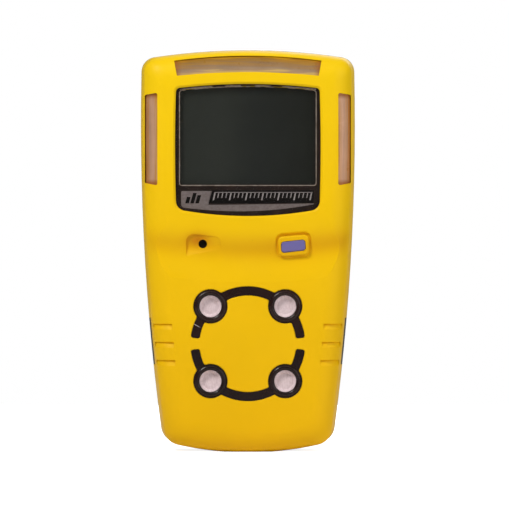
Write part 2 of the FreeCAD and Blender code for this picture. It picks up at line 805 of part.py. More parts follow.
def lcd_frame():
    """Bent frame that holds glass, light guide and board together."""
    w = LCD_HALF_WIDTH
    y0 = FRONT_Y + LCD_FRONT
    y1 = FRONT_Y + DISPLAY_BOARD_FRONT
    t = LCD_FRAME_WALL
    frame = block(-w - t, w + t, y0, y1, LCD_BOTTOM_Z - t, LCD_TOP_Z + t)
    return frame.cut(block(-w, w, y0, y1, LCD_BOTTOM_Z, LCD_TOP_Z))


def zebra_strips():
    """Two elastomer strips that join the glass to the display board."""
    y0 = FRONT_Y + LCD_BACK
    y1 = FRONT_Y + DISPLAY_BOARD_FRONT
    w = ZEBRA_HALF_LENGTH
    low = block(-w, w, (y0 + FRONT_Y + LCD_FRONT) / 2, y1, LCD_BOTTOM_Z + 0.2, LCD_BOTTOM_Z + 1.8)
    high = block(-w, w, y0, y1, LCD_TOP_Z - 2.0, LCD_TOP_Z - 0.4)
    return Part.makeCompound([low, high])


def backlight():
    """Light guide behind the glass."""
    y0 = FRONT_Y + LCD_BACK
    w = LCD_HALF_WIDTH - 2
    return block(-w, w, y0, y0 + LIGHT_GUIDE_THICKNESS, LCD_BOTTOM_Z + 2.5, LCD_TOP_Z - 2.5)


def button_key():
    """Slanted key with a flange that keeps it inside the casing and a stem that works the switch."""
    top_y = FRONT_Y - KEY_PROUD
    cap = prism(key_outline(top_y), FRONT_INSIDE_Y + 0.8 - top_y)
    cap = cap.makeFillet(0.4, edges_at_y(cap, top_y))
    flange = prism(key_outline(FRONT_INSIDE_Y + 0.05).makeOffset2D(KEY_FLANGE), KEY_FLANGE_THICKNESS)
    stem_end = FRONT_Y + DISPLAY_BOARD_FRONT - SWITCH_HEIGHT - SWITCH_GAP - KEY_TRAVEL
    stem = rod(KEY_X, KEY_Z, 1.0, FRONT_INSIDE_Y + 0.5, stem_end)
    return fused([cap, flange, stem])


def button_switch():
    """Tactile switch on the display board, a working gap behind the key's stem."""
    board_y = FRONT_Y + DISPLAY_BOARD_FRONT
    w = SWITCH_HALF_WIDTH
    body = block(KEY_X - w, KEY_X + w, board_y - SWITCH_BODY_HEIGHT, board_y, KEY_Z - w, KEY_Z + w)
    return body.fuse(rod(KEY_X, KEY_Z, 1.2, board_y - SWITCH_HEIGHT, board_y - 1.0))


def buzzer():
    """Round sounder with its port towards the front."""
    board_y = FRONT_Y + DISPLAY_BOARD_FRONT
    face_y = FRONT_INSIDE_Y + MEMBRANE_THICKNESS
    can = rod(BUZZER_X, BUZZER_Z, BUZZER_R, face_y, board_y)
    can = can.makeFillet(0.5, edges_at_y(can, face_y))
    return can.cut(rod(BUZZER_X, BUZZER_Z, BUZZER_PORT_R, face_y, face_y + 1))


def buzzer_membrane():
    """Splash membrane between the port and the sounder."""
    return rod(BUZZER_X, BUZZER_Z, MEMBRANE_R, FRONT_INSIDE_Y, FRONT_INSIDE_Y + MEMBRANE_THICKNESS)


def display_board():
    """Upper board that carries the display, buzzer, switch and alarm lamps."""
    y = FRONT_Y + DISPLAY_BOARD_FRONT
    board = prism(bowed_wire(BODY, y, 4.6), DISPLAY_BOARD_THICKNESS)
    board = board.common(block(-BEYOND, BEYOND, y, y + 2, DISPLAY_BOARD_BOTTOM_Z, BEYOND))
    for x, z in CASE_SCREWS:
        board = board.cut(rod(x, z, CASE_BOSS_R + 0.5, y, y + 2))
    return board


def alarm_lamps():
    """Six lamps that shine into the three light bars."""
    y = FRONT_Y + DISPLAY_BOARD_FRONT
    lamps = []
    for x in (-23.2, 23.2):
        for z in (80.0, 94.0):
            lamps.append(block(x - 1.1, x + 1.1, y - LAMP_HEIGHT, y, z - 1.6, z + 1.6))
    for x in (-9.0, 9.0):
        lamps.append(block(x - 1.6, x + 1.6, y - LAMP_HEIGHT, y, 104.6, 106.6))
    return Part.makeCompound(lamps)


# ------------------------------------------------------------------ sensors
def sensor_gasket(upper):
    """Rubber inlay with a raised lip and a sleeve at each of its two gas ports."""
    body = sensor_inlay(upper, FRONT_Y, FRONT_Y + INLAY_DEPTH)
    for angle in SENSOR_ANGLES:
        x, z = sensor_place(angle)
        if (z > SENSOR_RING_Z) != upper:
            continue
        lip_centre = V(x, FRONT_Y + PORT_LIP_DEPTH, z)
        lip = Part.makeTorus(PORT_LIP_RING_R, PORT_LIP_R, lip_centre, V(0, 1, 0))
        sleeve = rod(x, z, PORT_SLEEVE_R, FRONT_Y + 0.5, SENSOR_FRONT_Y - 0.1)
        mouth = rod(x, z, PORT_LIP_RING_R, FRONT_Y - 1, FRONT_Y + PORT_LIP_DEPTH)
        bore = rod(x, z, PORT_BORE_R, FRONT_Y - 1, SENSOR_FRONT_Y)
        body = body.cut(mouth).fuse([lip, sleeve]).removeSplitter().cut(bore)
    return body


def sensor_filters():
    """Four dust filters: a thin membrane at the bottom of a funnel-shaped rim."""
    filters = []
    y = FRONT_Y + FILTER_RECESS
    for angle in SENSOR_ANGLES:
        x, z = sensor_place(angle)
        disc = rod(x, z, PORT_BORE_R, y, y + FILTER_THICKNESS)
        mouth_r = PORT_BORE_R - FILTER_EDGE
        dish = Part.makeCone(mouth_r, FILTER_FLOOR_R, FILTER_DISH_DEPTH, V(x, y, z), V(0, 1, 0))
        filters.append(disc.cut(dish))
    return Part.makeCompound(filters)


def sensor_cell(angle):
    """Gas sensor: a round cell with a stepped face, an inlet and three pins."""
    x, z = sensor_place(angle)
    can = rod(x, z, SENSOR_R, SENSOR_FRONT_Y + 1.0, SENSOR_BACK_Y)
    can = can.makeFillet(0.6, edges_at_y(can, SENSOR_FRONT_Y + 1.0) + edges_at_y(can, SENSOR_BACK_Y))
    face = rod(x, z, SENSOR_FACE_R, SENSOR_FRONT_Y, SENSOR_FRONT_Y + 2.0)
    inlet = rod(x, z, SENSOR_INLET_R, SENSOR_FRONT_Y - 1, SENSOR_FRONT_Y + 0.5)
    pins = []
    for pin_x, pin_z in sensor_pins(x, z):
        pins.append(rod(pin_x, pin_z, SENSOR_PIN_R, SENSOR_BACK_Y - 1, MAIN_BOARD_FRONT_Y))
    return fused([can, face] + pins).cut(inlet)


def sensor_pins(x, z):
    """(x, z) of a sensor's three pins."""
    places = []
    for turn in (90, 210, 330):
        pin_x = x + SENSOR_PIN_RING_R * math.cos(math.radians(turn))
        pin_z = z + SENSOR_PIN_RING_R * math.sin(math.radians(turn))
        places.append((pin_x, pin_z))
    return places


def sensor_seals():
    """Foam rings between the casing and the face of each sensor."""
    seals = []
    for angle in SENSOR_ANGLES:
        x, z = sensor_place(angle)
        seals.append(tube(x, z, SENSOR_FACE_R - 1, PORT_SLEEVE_R, FRONT_INSIDE_Y, SENSOR_FRONT_Y))
    return Part.makeCompound(seals)


def sensor_sockets():
    """Spring sockets on the main board, one to each sensor pin."""
    sockets = []
    for angle in SENSOR_ANGLES:
        for x, z in sensor_pins(*sensor_place(angle)):
            sockets.append(tube(x, z, 1.3, SENSOR_PIN_R, SENSOR_BACK_Y + 0.1, MAIN_BOARD_FRONT_Y))
    return Part.makeCompound(sockets)


# ------------------------------------------------------------------ boards, battery, vibration motor
def main_board():
    """Full-height board that follows the casing and clears its bosses."""
    y = MAIN_BOARD_FRONT_Y
    board = prism(bowed_wire(BODY, y, 3.2, 10.0), MAIN_BOARD_THICKNESS)
    for x, z in CASE_SCREWS:
        board = board.cut(rod(x, z, CASE_BOSS_R + 0.8, y, y + 2))
    for side in (-1, 1):
        board = board.cut(rod(side * BOARD_POST_X, BOARD_POST_Z, 1.0, y, y + 2))
    return board


def board_chips():
    """Processor, memory, converter and coil on the back of the main board."""
    y = MAIN_BOARD_FRONT_Y + MAIN_BOARD_THICKNESS
    coil_x, coil_z, coil_r, coil_height = BOARD_COIL
    parts = [rod(coil_x, coil_z, coil_r, y, y + coil_height)]
    for left, right, low, high, height in BOARD_CHIPS:
        parts.append(block(left, right, y, y + height, low, high))
    return Part.makeCompound(parts)


def board_connector():
    """Header that joins the display board to the main board, beside the battery."""
    y0 = FRONT_Y + DISPLAY_BOARD_FRONT + DISPLAY_BOARD_THICKNESS
    return block(20.0, 23.0, y0, MAIN_BOARD_FRONT_Y, 66, 84)


def board_screws():
    """Two screws that hold the main board on the casing's posts."""
    screws = []
    y = MAIN_BOARD_FRONT_Y + MAIN_BOARD_THICKNESS
    for side in (-1, 1):
        x = side * BOARD_POST_X
        head = rod(x, BOARD_POST_Z, 1.8, y, y + 1.2)
        shank = rod(x, BOARD_POST_Z, 0.9, MAIN_BOARD_FRONT_Y - 4.5, y + 0.5)
        screw = head.fuse(shank).removeSplitter()
        screws.append(screw.cut(star_socket(x, BOARD_POST_Z, 0.9, y + 0.5, y + 1.2)))
    return Part.makeCompound(screws)


def battery_pack():
    """Rechargeable cell in a shrink sleeve with rounded long edges."""
    w = BATTERY_HALF_WIDTH
    pack = block(-w, w, BATTERY_FRONT_Y, BATTERY_BACK_Y, BATTERY_BOTTOM_Z, BATTERY_TOP_Z)
    upright = [edge for edge in pack.Edges if edge.BoundBox.ZLength > 10]
    return pack.makeFillet(2.5, upright)


def battery_pad():
    """Foam pad between the battery and the main board."""
    w = BATTERY_HALF_WIDTH - PAD_INSET
    low = BATTERY_BOTTOM_Z + PAD_INSET
    return block(-w, w, BATTERY_BACK_Y, MAIN_BOARD_FRONT_Y, low, BATTERY_TOP_Z - PAD_INSET)


def battery_connector():
    """Plug of the battery lead on the main board."""
    return block(-22.5, -18.5, MAIN_BOARD_FRONT_Y - 3.2, MAIN_BOARD_FRONT_Y, 70, 77)


def motor_bracket():
    """Cradle that holds the vibration motor on the main board."""
    top = MOTOR_Z + MOTOR_R + 0.5
    low = MOTOR_Z - MOTOR_R - 0.5
    front = MOTOR_Y - MOTOR_R - 0.5
    cradle = block(MOTOR_LEFT_X + 1.5, MOTOR_RIGHT_X - 2, front, MAIN_BOARD_FRONT_Y, low, top)
    return cradle.cut(rod_x(MOTOR_Y, MOTOR_Z, MOTOR_R, MOTOR_LEFT_X, MOTOR_RIGHT_X))


def vibration_motor():
    """Motor can with a bearing bore for its shaft."""
    can = rod_x(MOTOR_Y, MOTOR_Z, MOTOR_R, MOTOR_LEFT_X, MOTOR_RIGHT_X)
    bore = rod_x(MOTOR_Y, MOTOR_Z, MOTOR_SHAFT_R + MOTOR_CLEARANCE, MOTOR_RIGHT_X - 5, MOTOR_RIGHT_X + 1)
    return can.cut(bore)


def motor_shaft():
    """Steel shaft that turns in the motor's bearing."""
    return rod_x(MOTOR_Y, MOTOR_Z, MOTOR_SHAFT_R, MOTOR_RIGHT_X - 4.8, MOTOR_RIGHT_X + WEIGHT_LENGTH + 0.6)


def vibration_weight():
    """Off-centre half-round weight pressed on the motor's shaft."""
    x0 = MOTOR_RIGHT_X + 0.4
    x1 = x0 + WEIGHT_LENGTH
    half = rod_x(MOTOR_Y, MOTOR_Z, MOTOR_R, x0, x1)
    half = half.common(block(x0, x1, MOTOR_Y - 3, MOTOR_Y + 3, MOTOR_Z - 3, MOTOR_Z + 0.3))
    hub = rod_x(MOTOR_Y, MOTOR_Z, MOTOR_SHAFT_R + 0.5, x0, x1)
    return half.fuse(hub).removeSplitter().cut(rod_x(MOTOR_Y, MOTOR_Z, MOTOR_SHAFT_R, x0, x1))


# ------------------------------------------------------------------ fasteners, port, label
def screw_inserts():
    """Threaded brass sleeves in the front casing's bosses."""
    inserts = []
    for x, z in CASE_SCREWS:
        inserts.append(tube(x, z, INSERT_R, CASE_SHANK_R, FRONT_RIM_Y - INSERT_LENGTH, FRONT_RIM_Y))
    return Part.makeCompound(inserts)


def case_screws():
    """Four star-drive screws that close the casing from the back."""
    screws = []
    seat = BACK_Y - CASE_SCREW_WELL
    for x, z in CASE_SCREWS:
        head = rod(x, z, CASE_HEAD_R, seat, seat + 1.7)
        head = head.makeFillet(0.4, edges_at_y(head, seat + 1.7))
        shank = rod(x, z, CASE_SHANK_R, FRONT_RIM_Y - 5.5, seat + 0.5)
        screw = head.fuse(shank).removeSplitter()
        screws.append(screw.cut(star_socket(x, z, 1.3, seat + 0.7, seat + 1.8)))
    return Part.makeCompound(screws)


def connector_envelope():
    """The space of the charging connector's housing."""
    w = PORT_HALF_WIDTH + PORT_WALL
    return block(-w, w, PORT_FRONT_Y - PORT_WALL, PORT_BACK_Y + PORT_WALL, -1, PORT_DEPTH + 1.6)


def charging_connector():
    """Open-bottomed housing of the charging port, flush with the base."""
    housing = above_base(connector_envelope())
    cavity = (
        (-PORT_HALF_WIDTH, PORT_FRONT_Y),
        (PORT_HALF_WIDTH, PORT_FRONT_Y),
        (PORT_HALF_WIDTH, PORT_BACK_Y),
        (-PORT_HALF_WIDTH, PORT_BACK_Y),
    )
    mouth = Part.makePolygon([V(x, y, -1) for x, y in cavity + cavity[:1]])
    hollow = Part.Face(mouth).extrude(V(0, 0, PORT_DEPTH + 1))
    upright = [edge for edge in hollow.Edges if edge.BoundBox.ZLength > 2]
    return housing.cut(hollow.makeFillet(1.0, upright))


def charging_contacts():
    """Four gold contact pads on the roof of the charging port."""
    contacts = []
    middle = (PORT_FRONT_Y + PORT_BACK_Y) / 2
    for index in range(CONTACT_COUNT):
        x = CONTACT_PITCH * (index - (CONTACT_COUNT - 1) / 2)
        contacts.append(block(x - 0.7, x + 0.7, middle - 1.5, middle + 1.5, PORT_DEPTH - 0.3, PORT_DEPTH))
    return Part.makeCompound(contacts)


def infrared_window():
    """Dark window of the data link, beside the charging port."""
    window = block(*INFRARED_BOX, -1, 3.2)
    return window.common(back_body(0.2))


def rear_label():
    """Blank rating label, flush in the back of the casing."""
    w = LABEL_HALF_WIDTH - 0.15
    low = LABEL_BOTTOM_Z + 0.15
    high = LABEL_TOP_Z - 0.15
    points = ((-w, low), (w, low), (w, high), (-w, high))
    return prism(rounded_wire(points, 1.4, BACK_Y - LABEL_THICKNESS), LABEL_THICKNESS - 0.02)


# ------------------------------------------------------------------ clip
def base_ear():
    """Round-ended ear of the base plate, on the +X side."""
    x0 = CLIP_HALF_WIDTH - STEEL
    stem = block(x0, CLIP_HALF_WIDTH, BACK_Y, PIN_Y, PIN_Z - BASE_EAR_R, PIN_Z + BASE_EAR_R)
    return stem.fuse(rod_x(PIN_Y, PIN_Z, BASE_EAR_R, x0, CLIP_HALF_WIDTH)).removeSplitter()


def arm_ear():
    """Round-ended ear of the arm, inside the base's ear, on the +X side."""
    x0 = ARM_HALF_WIDTH - STEEL
    stem = block(x0, ARM_HALF_WIDTH, PIN_Y, ARM_OVER_PIN_Y, PIN_Z - ARM_EAR_R, PIN_Z + ARM_EAR_R)
    return stem.fuse(rod_x(PIN_Y, PIN_Z, ARM_EAR_R, x0, ARM_HALF_WIDTH)).removeSplitter()


def clip_base():
    """Stamped plate on the back of the casing with two ears for the pin."""
    corners = (
        (-CLIP_HALF_WIDTH, CLIP_BOTTOM_Z),
        (CLIP_HALF_WIDTH, CLIP_BOTTOM_Z),
        (CLIP_HALF_WIDTH, CLIP_TOP_Z),
        (-CLIP_HALF_WIDTH, CLIP_TOP_Z),
    )
    plate = prism(rounded_wire(corners, 2.0, BACK_Y), STEEL)
    right = base_ear()
    base = fused([plate, right, mirrored(right)])
    base = base.cut(rod_x(PIN_Y, PIN_Z, PIN_R, -20, 20))
    return base.cut(rod(0, CLIP_SCREW_Z, 1.7, BACK_Y, BACK_Y + STEEL))


def offset_curve(points, distance):
    """A smooth curve beside the smooth curve through points, all in the x = 0 plane."""
    middle = Part.BSplineCurve()
    middle.interpolate(points)
    beside = []
    samples = 4 * len(points)
    for index in range(samples + 1):
        position = middle.FirstParameter
        position += (middle.LastParameter - middle.FirstParameter) * index / samples
        along = middle.tangent(position)[0]
        beside.append(middle.value(position) + V(0, -along.z, along.y) * distance)
    curve = Part.BSplineCurve()
    curve.interpolate(beside)
    return curve


def clip_arm():
    """Toothed arm: thumb pad above the pin, bowed throat below it, teeth that close on the base."""
    centreline = [V(0, y, z) for y, z in ARM_CENTRELINE]
    outer = offset_curve(centreline, STEEL / 2)
    inner = offset_curve(centreline, -STEEL / 2)
    outer_ends = (outer.value(outer.FirstParameter), outer.value(outer.LastParameter))
    inner_ends = (inner.value(inner.FirstParameter), inner.value(inner.LastParameter))
    profile = Part.Wire(
        [
            outer.toShape(),
            Part.LineSegment(outer_ends[1], inner_ends[1]).toShape(),
            inner.toShape(),
            Part.LineSegment(inner_ends[0], outer_ends[0]).toShape(),
        ]
    )
    strip = Part.Face(profile).extrude(V(2 * ARM_HALF_WIDTH, 0, 0))
    strip.translate(V(-ARM_HALF_WIDTH, 0, 0))
    right = arm_ear()
    arm = fused([strip, right, mirrored(right)])
    arm = arm.cut(rod_x(PIN_Y, PIN_Z, PIN_R + PIN_CLEARANCE, -20, 20))
    arm = arm.cut(rod(0, CLIP_SCREW_Z, ARM_HOLE_R, 15, 22))
    arm = arm.cut(tooth_gaps())
    return arm.common(block(-BEYOND, BEYOND, BACK_Y + STEEL + 0.05, CLIP_BACK_Y, 0, BEYOND))


def tooth_gaps():
    """The notches between the teeth at the end of the arm."""
    pitch = 2 * ARM_HALF_WIDTH / TEETH
    tip_y = BACK_Y + STEEL
    gaps = []
    for index in range(TEETH + 1):
        x = -ARM_HALF_WIDTH + pitch * index
        left = V(x - pitch / 2, tip_y, 40)
        right = V(x + pitch / 2, tip_y, 40)
        root = V(x, tip_y + TOOTH_HEIGHT, 40)
        face = Part.Face(Part.makePolygon([left, right, root, left]))
        gaps.append(face.extrude(V(0, 0, 14)))
    return Part.makeCompound(gaps)


def clip_pin():
    """Riveted pin with a head outside each ear."""
    reach = CLIP_HALF_WIDTH + PIN_HEAD
    shaft = rod_x(PIN_Y, PIN_Z, PIN_R, -reach, reach)
    head = rod_x(PIN_Y, PIN_Z, PIN_R + 0.7, CLIP_HALF_WIDTH, reach)
    head = head.makeFillet(0.3, [edge for edge in head.Edges if edge.BoundBox.XMin > reach - 0.01])
    return fused([shaft, head, mirrored(head)])


def clip_spring():
    """Torsion spring round the pin: a close coil with one leg on the base and one behind the thumb pad."""
    first = -SPRING_PITCH * (SPRING_TURNS - 1) / 2
    rings = []
    for turn in range(SPRING_TURNS):
        centre = V(first + SPRING_PITCH * turn, PIN_Y, PIN_Z)
        rings.append(Part.makeTorus(SPRING_COIL_R, SPRING_WIRE_R, centre, V(1, 0, 0)))
    arm_leg = V(first, PIN_Y + SPRING_COIL_R, PIN_Z)
    base_leg = V(-first, PIN_Y - SPRING_COIL_R, PIN_Z)
    lean = V(0, -SPRING_LEG_LEAN, 1)
    legs = [
        Part.makeCylinder(SPRING_WIRE_R, SPRING_LEG, arm_leg, lean),
        Part.makeCylinder(SPRING_WIRE_R, SPRING_LEG, base_leg, lean),
    ]
    return fused(rings + legs)


def clip_screw():
    """Star-drive screw that fixes the clip to the casing."""
    seat = BACK_Y + STEEL + 0.7
    head = rod(0, CLIP_SCREW_Z, CLIP_SCREW_HEAD_R, seat, seat + 1.8)
    head = head.makeFillet(0.6, edges_at_y(head, seat + 1.8))
    shank = rod(0, CLIP_SCREW_Z, 1.5, 5.0, seat + 0.5)
    screw = head.fuse(shank).removeSplitter()
    return screw.cut(star_socket(0, CLIP_SCREW_Z, 1.6, seat + 0.7, seat + 1.9))


def clip_washer():
    """Washer beneath the clip screw's head."""
    return tube(0, CLIP_SCREW_Z, 3.3, 1.6, BACK_Y + STEEL, BACK_Y + STEEL + 0.7)


# ------------------------------------------------------------------ build
def build():
    """Every separate piece, by its node name."""
    outer = front_body(0)
    recessed = front_body(BAR_RECESS)
    right_bar = light_bar(side_bar_outline, recessed)
    pieces = {
        "front_shell": front_shell(outer),
        "back_shell": back_shell(outer),
        "perimeter_seal": perimeter_seal(),
        "light_bar_top": light_bar(top_bar_outline, recessed),
        "light_bar_right": right_bar,
        "light_bar_left": mirrored(right_bar),
        "display_window": display_window(),
        "window_mask": window_mask(),
        "display_gasket": display_gasket(),
        "lcd_panel": lcd_panel(),
        "lcd_frame": lcd_frame(),
        "zebra_strips": zebra_strips(),
        "backlight": backlight(),
        "button_key": button_key(),
        "button_switch": button_switch(),
        "buzzer": buzzer(),
        "buzzer_membrane": buzzer_membrane(),
        "display_board": display_board(),
        "alarm_lamps": alarm_lamps(),
        "sensor_gasket_upper": sensor_gasket(True),
        "sensor_gasket_lower": sensor_gasket(False),
        "sensor_filters": sensor_filters(),
        "sensor_seals": sensor_seals(),
        "sensor_sockets": sensor_sockets(),
        "main_board": main_board(),
        "board_chips": board_chips(),
        "board_connector": board_connector(),
        "board_screws": board_screws(),
        "battery_pack": battery_pack(),
        "battery_pad": battery_pad(),
        "battery_connector": battery_connector(),
        "motor_bracket": motor_bracket(),
        "vibration_motor": vibration_motor(),
        "motor_shaft": motor_shaft(),
        "vibration_weight": vibration_weight(),
        "screw_inserts": screw_inserts(),
        "case_screws": case_screws(),
        "charging_connector": charging_connector(),
        "charging_contacts": charging_contacts(),
        "infrared_window": infrared_window(),
        "rear_label": rear_label(),
        "clip_base": clip_base(),
        "clip_arm": clip_arm(),
        "clip_pin": clip_pin(),
        "clip_spring": clip_spring(),
        "clip_screw": clip_screw(),
        "clip_washer": clip_washer(),
    }
    for name, angle in zip(SENSOR_NAMES, SENSOR_ANGLES):
        pieces[name] = sensor_cell(angle)
    return pieces


os.makedirs("parts", exist_ok=True)
for node, shape in build().items():
    shape.exportStep("parts/%s.step" % node)
    summary = (node, len(shape.Solids), shape.isValid(), shape.Volume)
    print("%-26s solids %2d  valid %s  volume %9.1f" % summary)
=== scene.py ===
import json
import math
import random

import bmesh
import bpy
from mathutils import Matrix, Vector


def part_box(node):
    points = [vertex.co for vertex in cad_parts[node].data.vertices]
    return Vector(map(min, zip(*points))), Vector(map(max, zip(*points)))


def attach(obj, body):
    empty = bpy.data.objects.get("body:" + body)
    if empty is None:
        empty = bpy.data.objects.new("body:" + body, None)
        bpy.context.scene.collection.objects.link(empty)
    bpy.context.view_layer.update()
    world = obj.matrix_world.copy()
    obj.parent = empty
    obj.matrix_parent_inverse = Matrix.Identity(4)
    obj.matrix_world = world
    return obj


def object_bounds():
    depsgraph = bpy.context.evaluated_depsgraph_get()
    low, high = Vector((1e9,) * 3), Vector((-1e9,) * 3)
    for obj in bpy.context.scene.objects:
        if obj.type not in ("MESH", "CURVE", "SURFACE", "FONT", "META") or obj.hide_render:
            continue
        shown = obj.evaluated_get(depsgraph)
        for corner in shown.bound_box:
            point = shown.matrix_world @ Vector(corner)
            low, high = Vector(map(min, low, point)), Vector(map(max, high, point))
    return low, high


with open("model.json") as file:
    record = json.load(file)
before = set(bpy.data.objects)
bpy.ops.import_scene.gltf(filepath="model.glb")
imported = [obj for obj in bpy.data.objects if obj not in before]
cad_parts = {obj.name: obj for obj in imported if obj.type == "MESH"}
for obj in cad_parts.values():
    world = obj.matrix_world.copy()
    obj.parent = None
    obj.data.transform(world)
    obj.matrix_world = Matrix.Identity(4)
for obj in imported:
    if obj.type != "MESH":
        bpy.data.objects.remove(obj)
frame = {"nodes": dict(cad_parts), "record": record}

CAD_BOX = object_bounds()
LOW, HIGH = Vector(CAD_BOX[0]), Vector(CAD_BOX[1])
MM = 0.001


# ------------------------------------------------------------------ material helpers
class Nodes:
    """A short way to write a material's node tree."""

    def __init__(self, name):
        self.material = bpy.data.materials.new(name)
        self.material.use_nodes = True
        self.tree = self.material.node_tree
        self.shader = self.tree.nodes["Principled BSDF"]
        self.place = self.new("ShaderNodeTexCoord").outputs["Object"]

    def new(self, kind, **values):
        """A node of this kind with its properties set."""
        node = self.tree.nodes.new(kind)
        for key, value in values.items():
            setattr(node, key, value)
        return node

    def link(self, source, target):
        self.tree.links.new(source, target)

    def set(self, **values):
        """Numbers and colours on the shader's own sockets."""
        for key, value in values.items():
            self.shader.inputs[key.replace("_", " ")].default_value = value

    def noise(self, scale, detail=2.0, stretch=(1, 1, 1), roughness=0.5):
        """Noise with about scale features a metre."""
        mapping = self.new("ShaderNodeMapping")
        mapping.inputs["Scale"].default_value = stretch
        self.link(self.place, mapping.inputs["Vector"])
        node = self.new("ShaderNodeTexNoise")
        node.inputs["Scale"].default_value = scale
        node.inputs["Detail"].default_value = detail
        node.inputs["Roughness"].default_value = roughness
        self.link(mapping.outputs["Vector"], node.inputs["Vector"])
        return node.outputs["Fac"]

    def ramp(self, source, stops):
        """A colour ramp from (position, colour) stops."""
        node = self.new("ShaderNodeValToRGB")
        elements = node.color_ramp.elements
        while len(elements) < len(stops):
            elements.new(0.5)
        for element, (position, colour) in zip(elements, stops):
            element.position = position
            element.color = (*colour, 1.0)
        self.link(source, node.inputs["Fac"])
        return node.outputs["Color"]

    def span(self, source, low, high, from_low=0.0, from_high=1.0):
        """A value carried from one range to another."""
        node = self.new("ShaderNodeMapRange")
        node.inputs["From Min"].default_value = from_low
        node.inputs["From Max"].default_value = from_high
        node.inputs["To Min"].default_value = low
        node.inputs["To Max"].default_value = high
        self.link(source, node.inputs["Value"])
        return node.outputs["Result"]

    def math(self, operation, first, second):
        """One step of arithmetic. Each operand is a number or a socket."""
        node = self.new("ShaderNodeMath", operation=operation)
        for socket, value in zip(node.inputs, (first, second)):
            if isinstance(value, (int, float)):
                socket.default_value = value
            else:
                self.link(value, socket)
        return node.outputs["Value"]

    def mix(self, factor, first, second):
        """The first colour turning into the second, a plain value, as the factor goes from 0 to 1."""
        node = self.new("ShaderNodeMix", data_type="RGBA")
        self.link(factor, node.inputs["Factor"])
        self.link(first, node.inputs["A"])
        node.inputs["B"].default_value = (*second, 1.0)
        return node.outputs["Result"]

    def axis(self, name):
        """One coordinate of the point, in metres."""
        node = self.new("ShaderNodeSeparateXYZ")
        self.link(self.place, node.inputs["Vector"])
        return node.outputs[name]

    def bump(self, height, distance, strength, below=None):
        """Relief on the surface, distance metres deep, on top of the relief below where that is given."""
        node = self.new("ShaderNodeBump")
        node.inputs["Distance"].default_value = distance
        node.inputs["Strength"].default_value = strength
        self.link(height, node.inputs["Height"])
        if below is not None:
            self.link(below, node.inputs["Normal"])
        self.link(node.outputs["Normal"], self.shader.inputs["Normal"])
        return node.outputs["Normal"]


def linear(red, green, blue):
    """A colour given in display values from 0 to 255."""
    def channel(value):
        value /= 255
        return value / 12.92 if value <= 0.04045 else ((value + 0.055) / 1.055) ** 2.4

    return channel(red), channel(green), channel(blue)


def moulded(name, light, dark, roughness, specular, grain_mm, grain_scale):
    """Moulded plastic or rubber: slow colour drift, fine skin texture, uneven gloss."""
    n = Nodes(name)
    n.set(Specular_IOR_Level=specular)
    drift = n.noise(38.0, 3.0)
    n.link(n.ramp(drift, ((0.3, linear(*dark)), (0.7, linear(*light)))), n.shader.inputs["Base Color"])
    fine = n.noise(grain_scale, 2.0)
    gloss = n.noise(160.0, 4.0)
    n.link(n.span(gloss, roughness - 0.05, roughness + 0.06, 0.3, 0.7), n.shader.inputs["Roughness"])
    n.bump(fine, grain_mm * MM, 0.6)
    return n.material


def metal(name, colour, roughness, stretch, scale):
    """Brushed or drawn metal: streaks along one direction and faint smudges."""
    n = Nodes(name)
    n.set(Metallic=1.0)
    streak = n.noise(scale, 3.0, stretch)
    dark = tuple(channel * 0.82 for channel in colour)
    n.link(n.ramp(streak, ((0.3, dark), (0.7, colour))), n.shader.inputs["Base Color"])
    smudge = n.noise(140.0, 4.0)
    n.link(n.span(smudge, roughness - 0.06, roughness + 0.12, 0.3, 0.7), n.shader.inputs["Roughness"])
    n.bump(streak, 0.012 * MM, 0.5)
    return n.material


# ------------------------------------------------------------------ materials, one function each
def bell(n, *offsets):
    """1 where every offset is 0, falling away smoothly. Each offset is a value and its spread."""
    total = 0.0
    for value, spread in offsets:
        total = n.math("ADD", n.math("POWER", n.math("DIVIDE", value, spread), 2.0), total)
    return n.math("EXPONENT", n.math("MULTIPLY", total, -1.0), 0.0)


def waist_painted_shade(n):
    """How much painted shade darkens the front along the waist's shallow valley, most on the right.

    It lies along an arc that rises to both sides, and leaves out the side walls.
    """
    arc_middle_z = 56.6 * MM
    arc_curvature = 3.0
    spread = 3.0 * MM
    left_amount, right_amount = 0.22, 0.31
    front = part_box("front_shell")[0].y
    side_wall = front + 5.5 * MM
    across = n.axis("X")
    arc = n.math("MULTIPLY", n.math("MULTIPLY", across, across), arc_curvature)
    off_arc = n.math("SUBTRACT", n.axis("Z"), n.math("ADD", arc, arc_middle_z))
    facing = n.span(n.axis("Y"), 1.0, 0.0, front + 2.0 * MM, side_wall)
    amount = n.span(across, left_amount, right_amount, -16 * MM, 6 * MM)
    return n.math("MULTIPLY", n.math("MULTIPLY", bell(n, (off_arc, spread)), facing), amount)


def hollow_painted_shade(n):
    """How much painted shade darkens the buzzer's hollow, up and to the left of the port, below its deep
    upper-left wall.
    """
    amount = 0.55
    low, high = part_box("buzzer_membrane")
    sideways = n.math("SUBTRACT", n.axis("X"), (low.x + high.x) / 2 - 1.2 * MM)
    upwards = n.math("SUBTRACT", n.axis("Z"), (low.z + high.z) / 2 + 1.3 * MM)
    return n.math("MULTIPLY", bell(n, (sideways, 3.3 * MM), (upwards, 2.0 * MM)), amount)


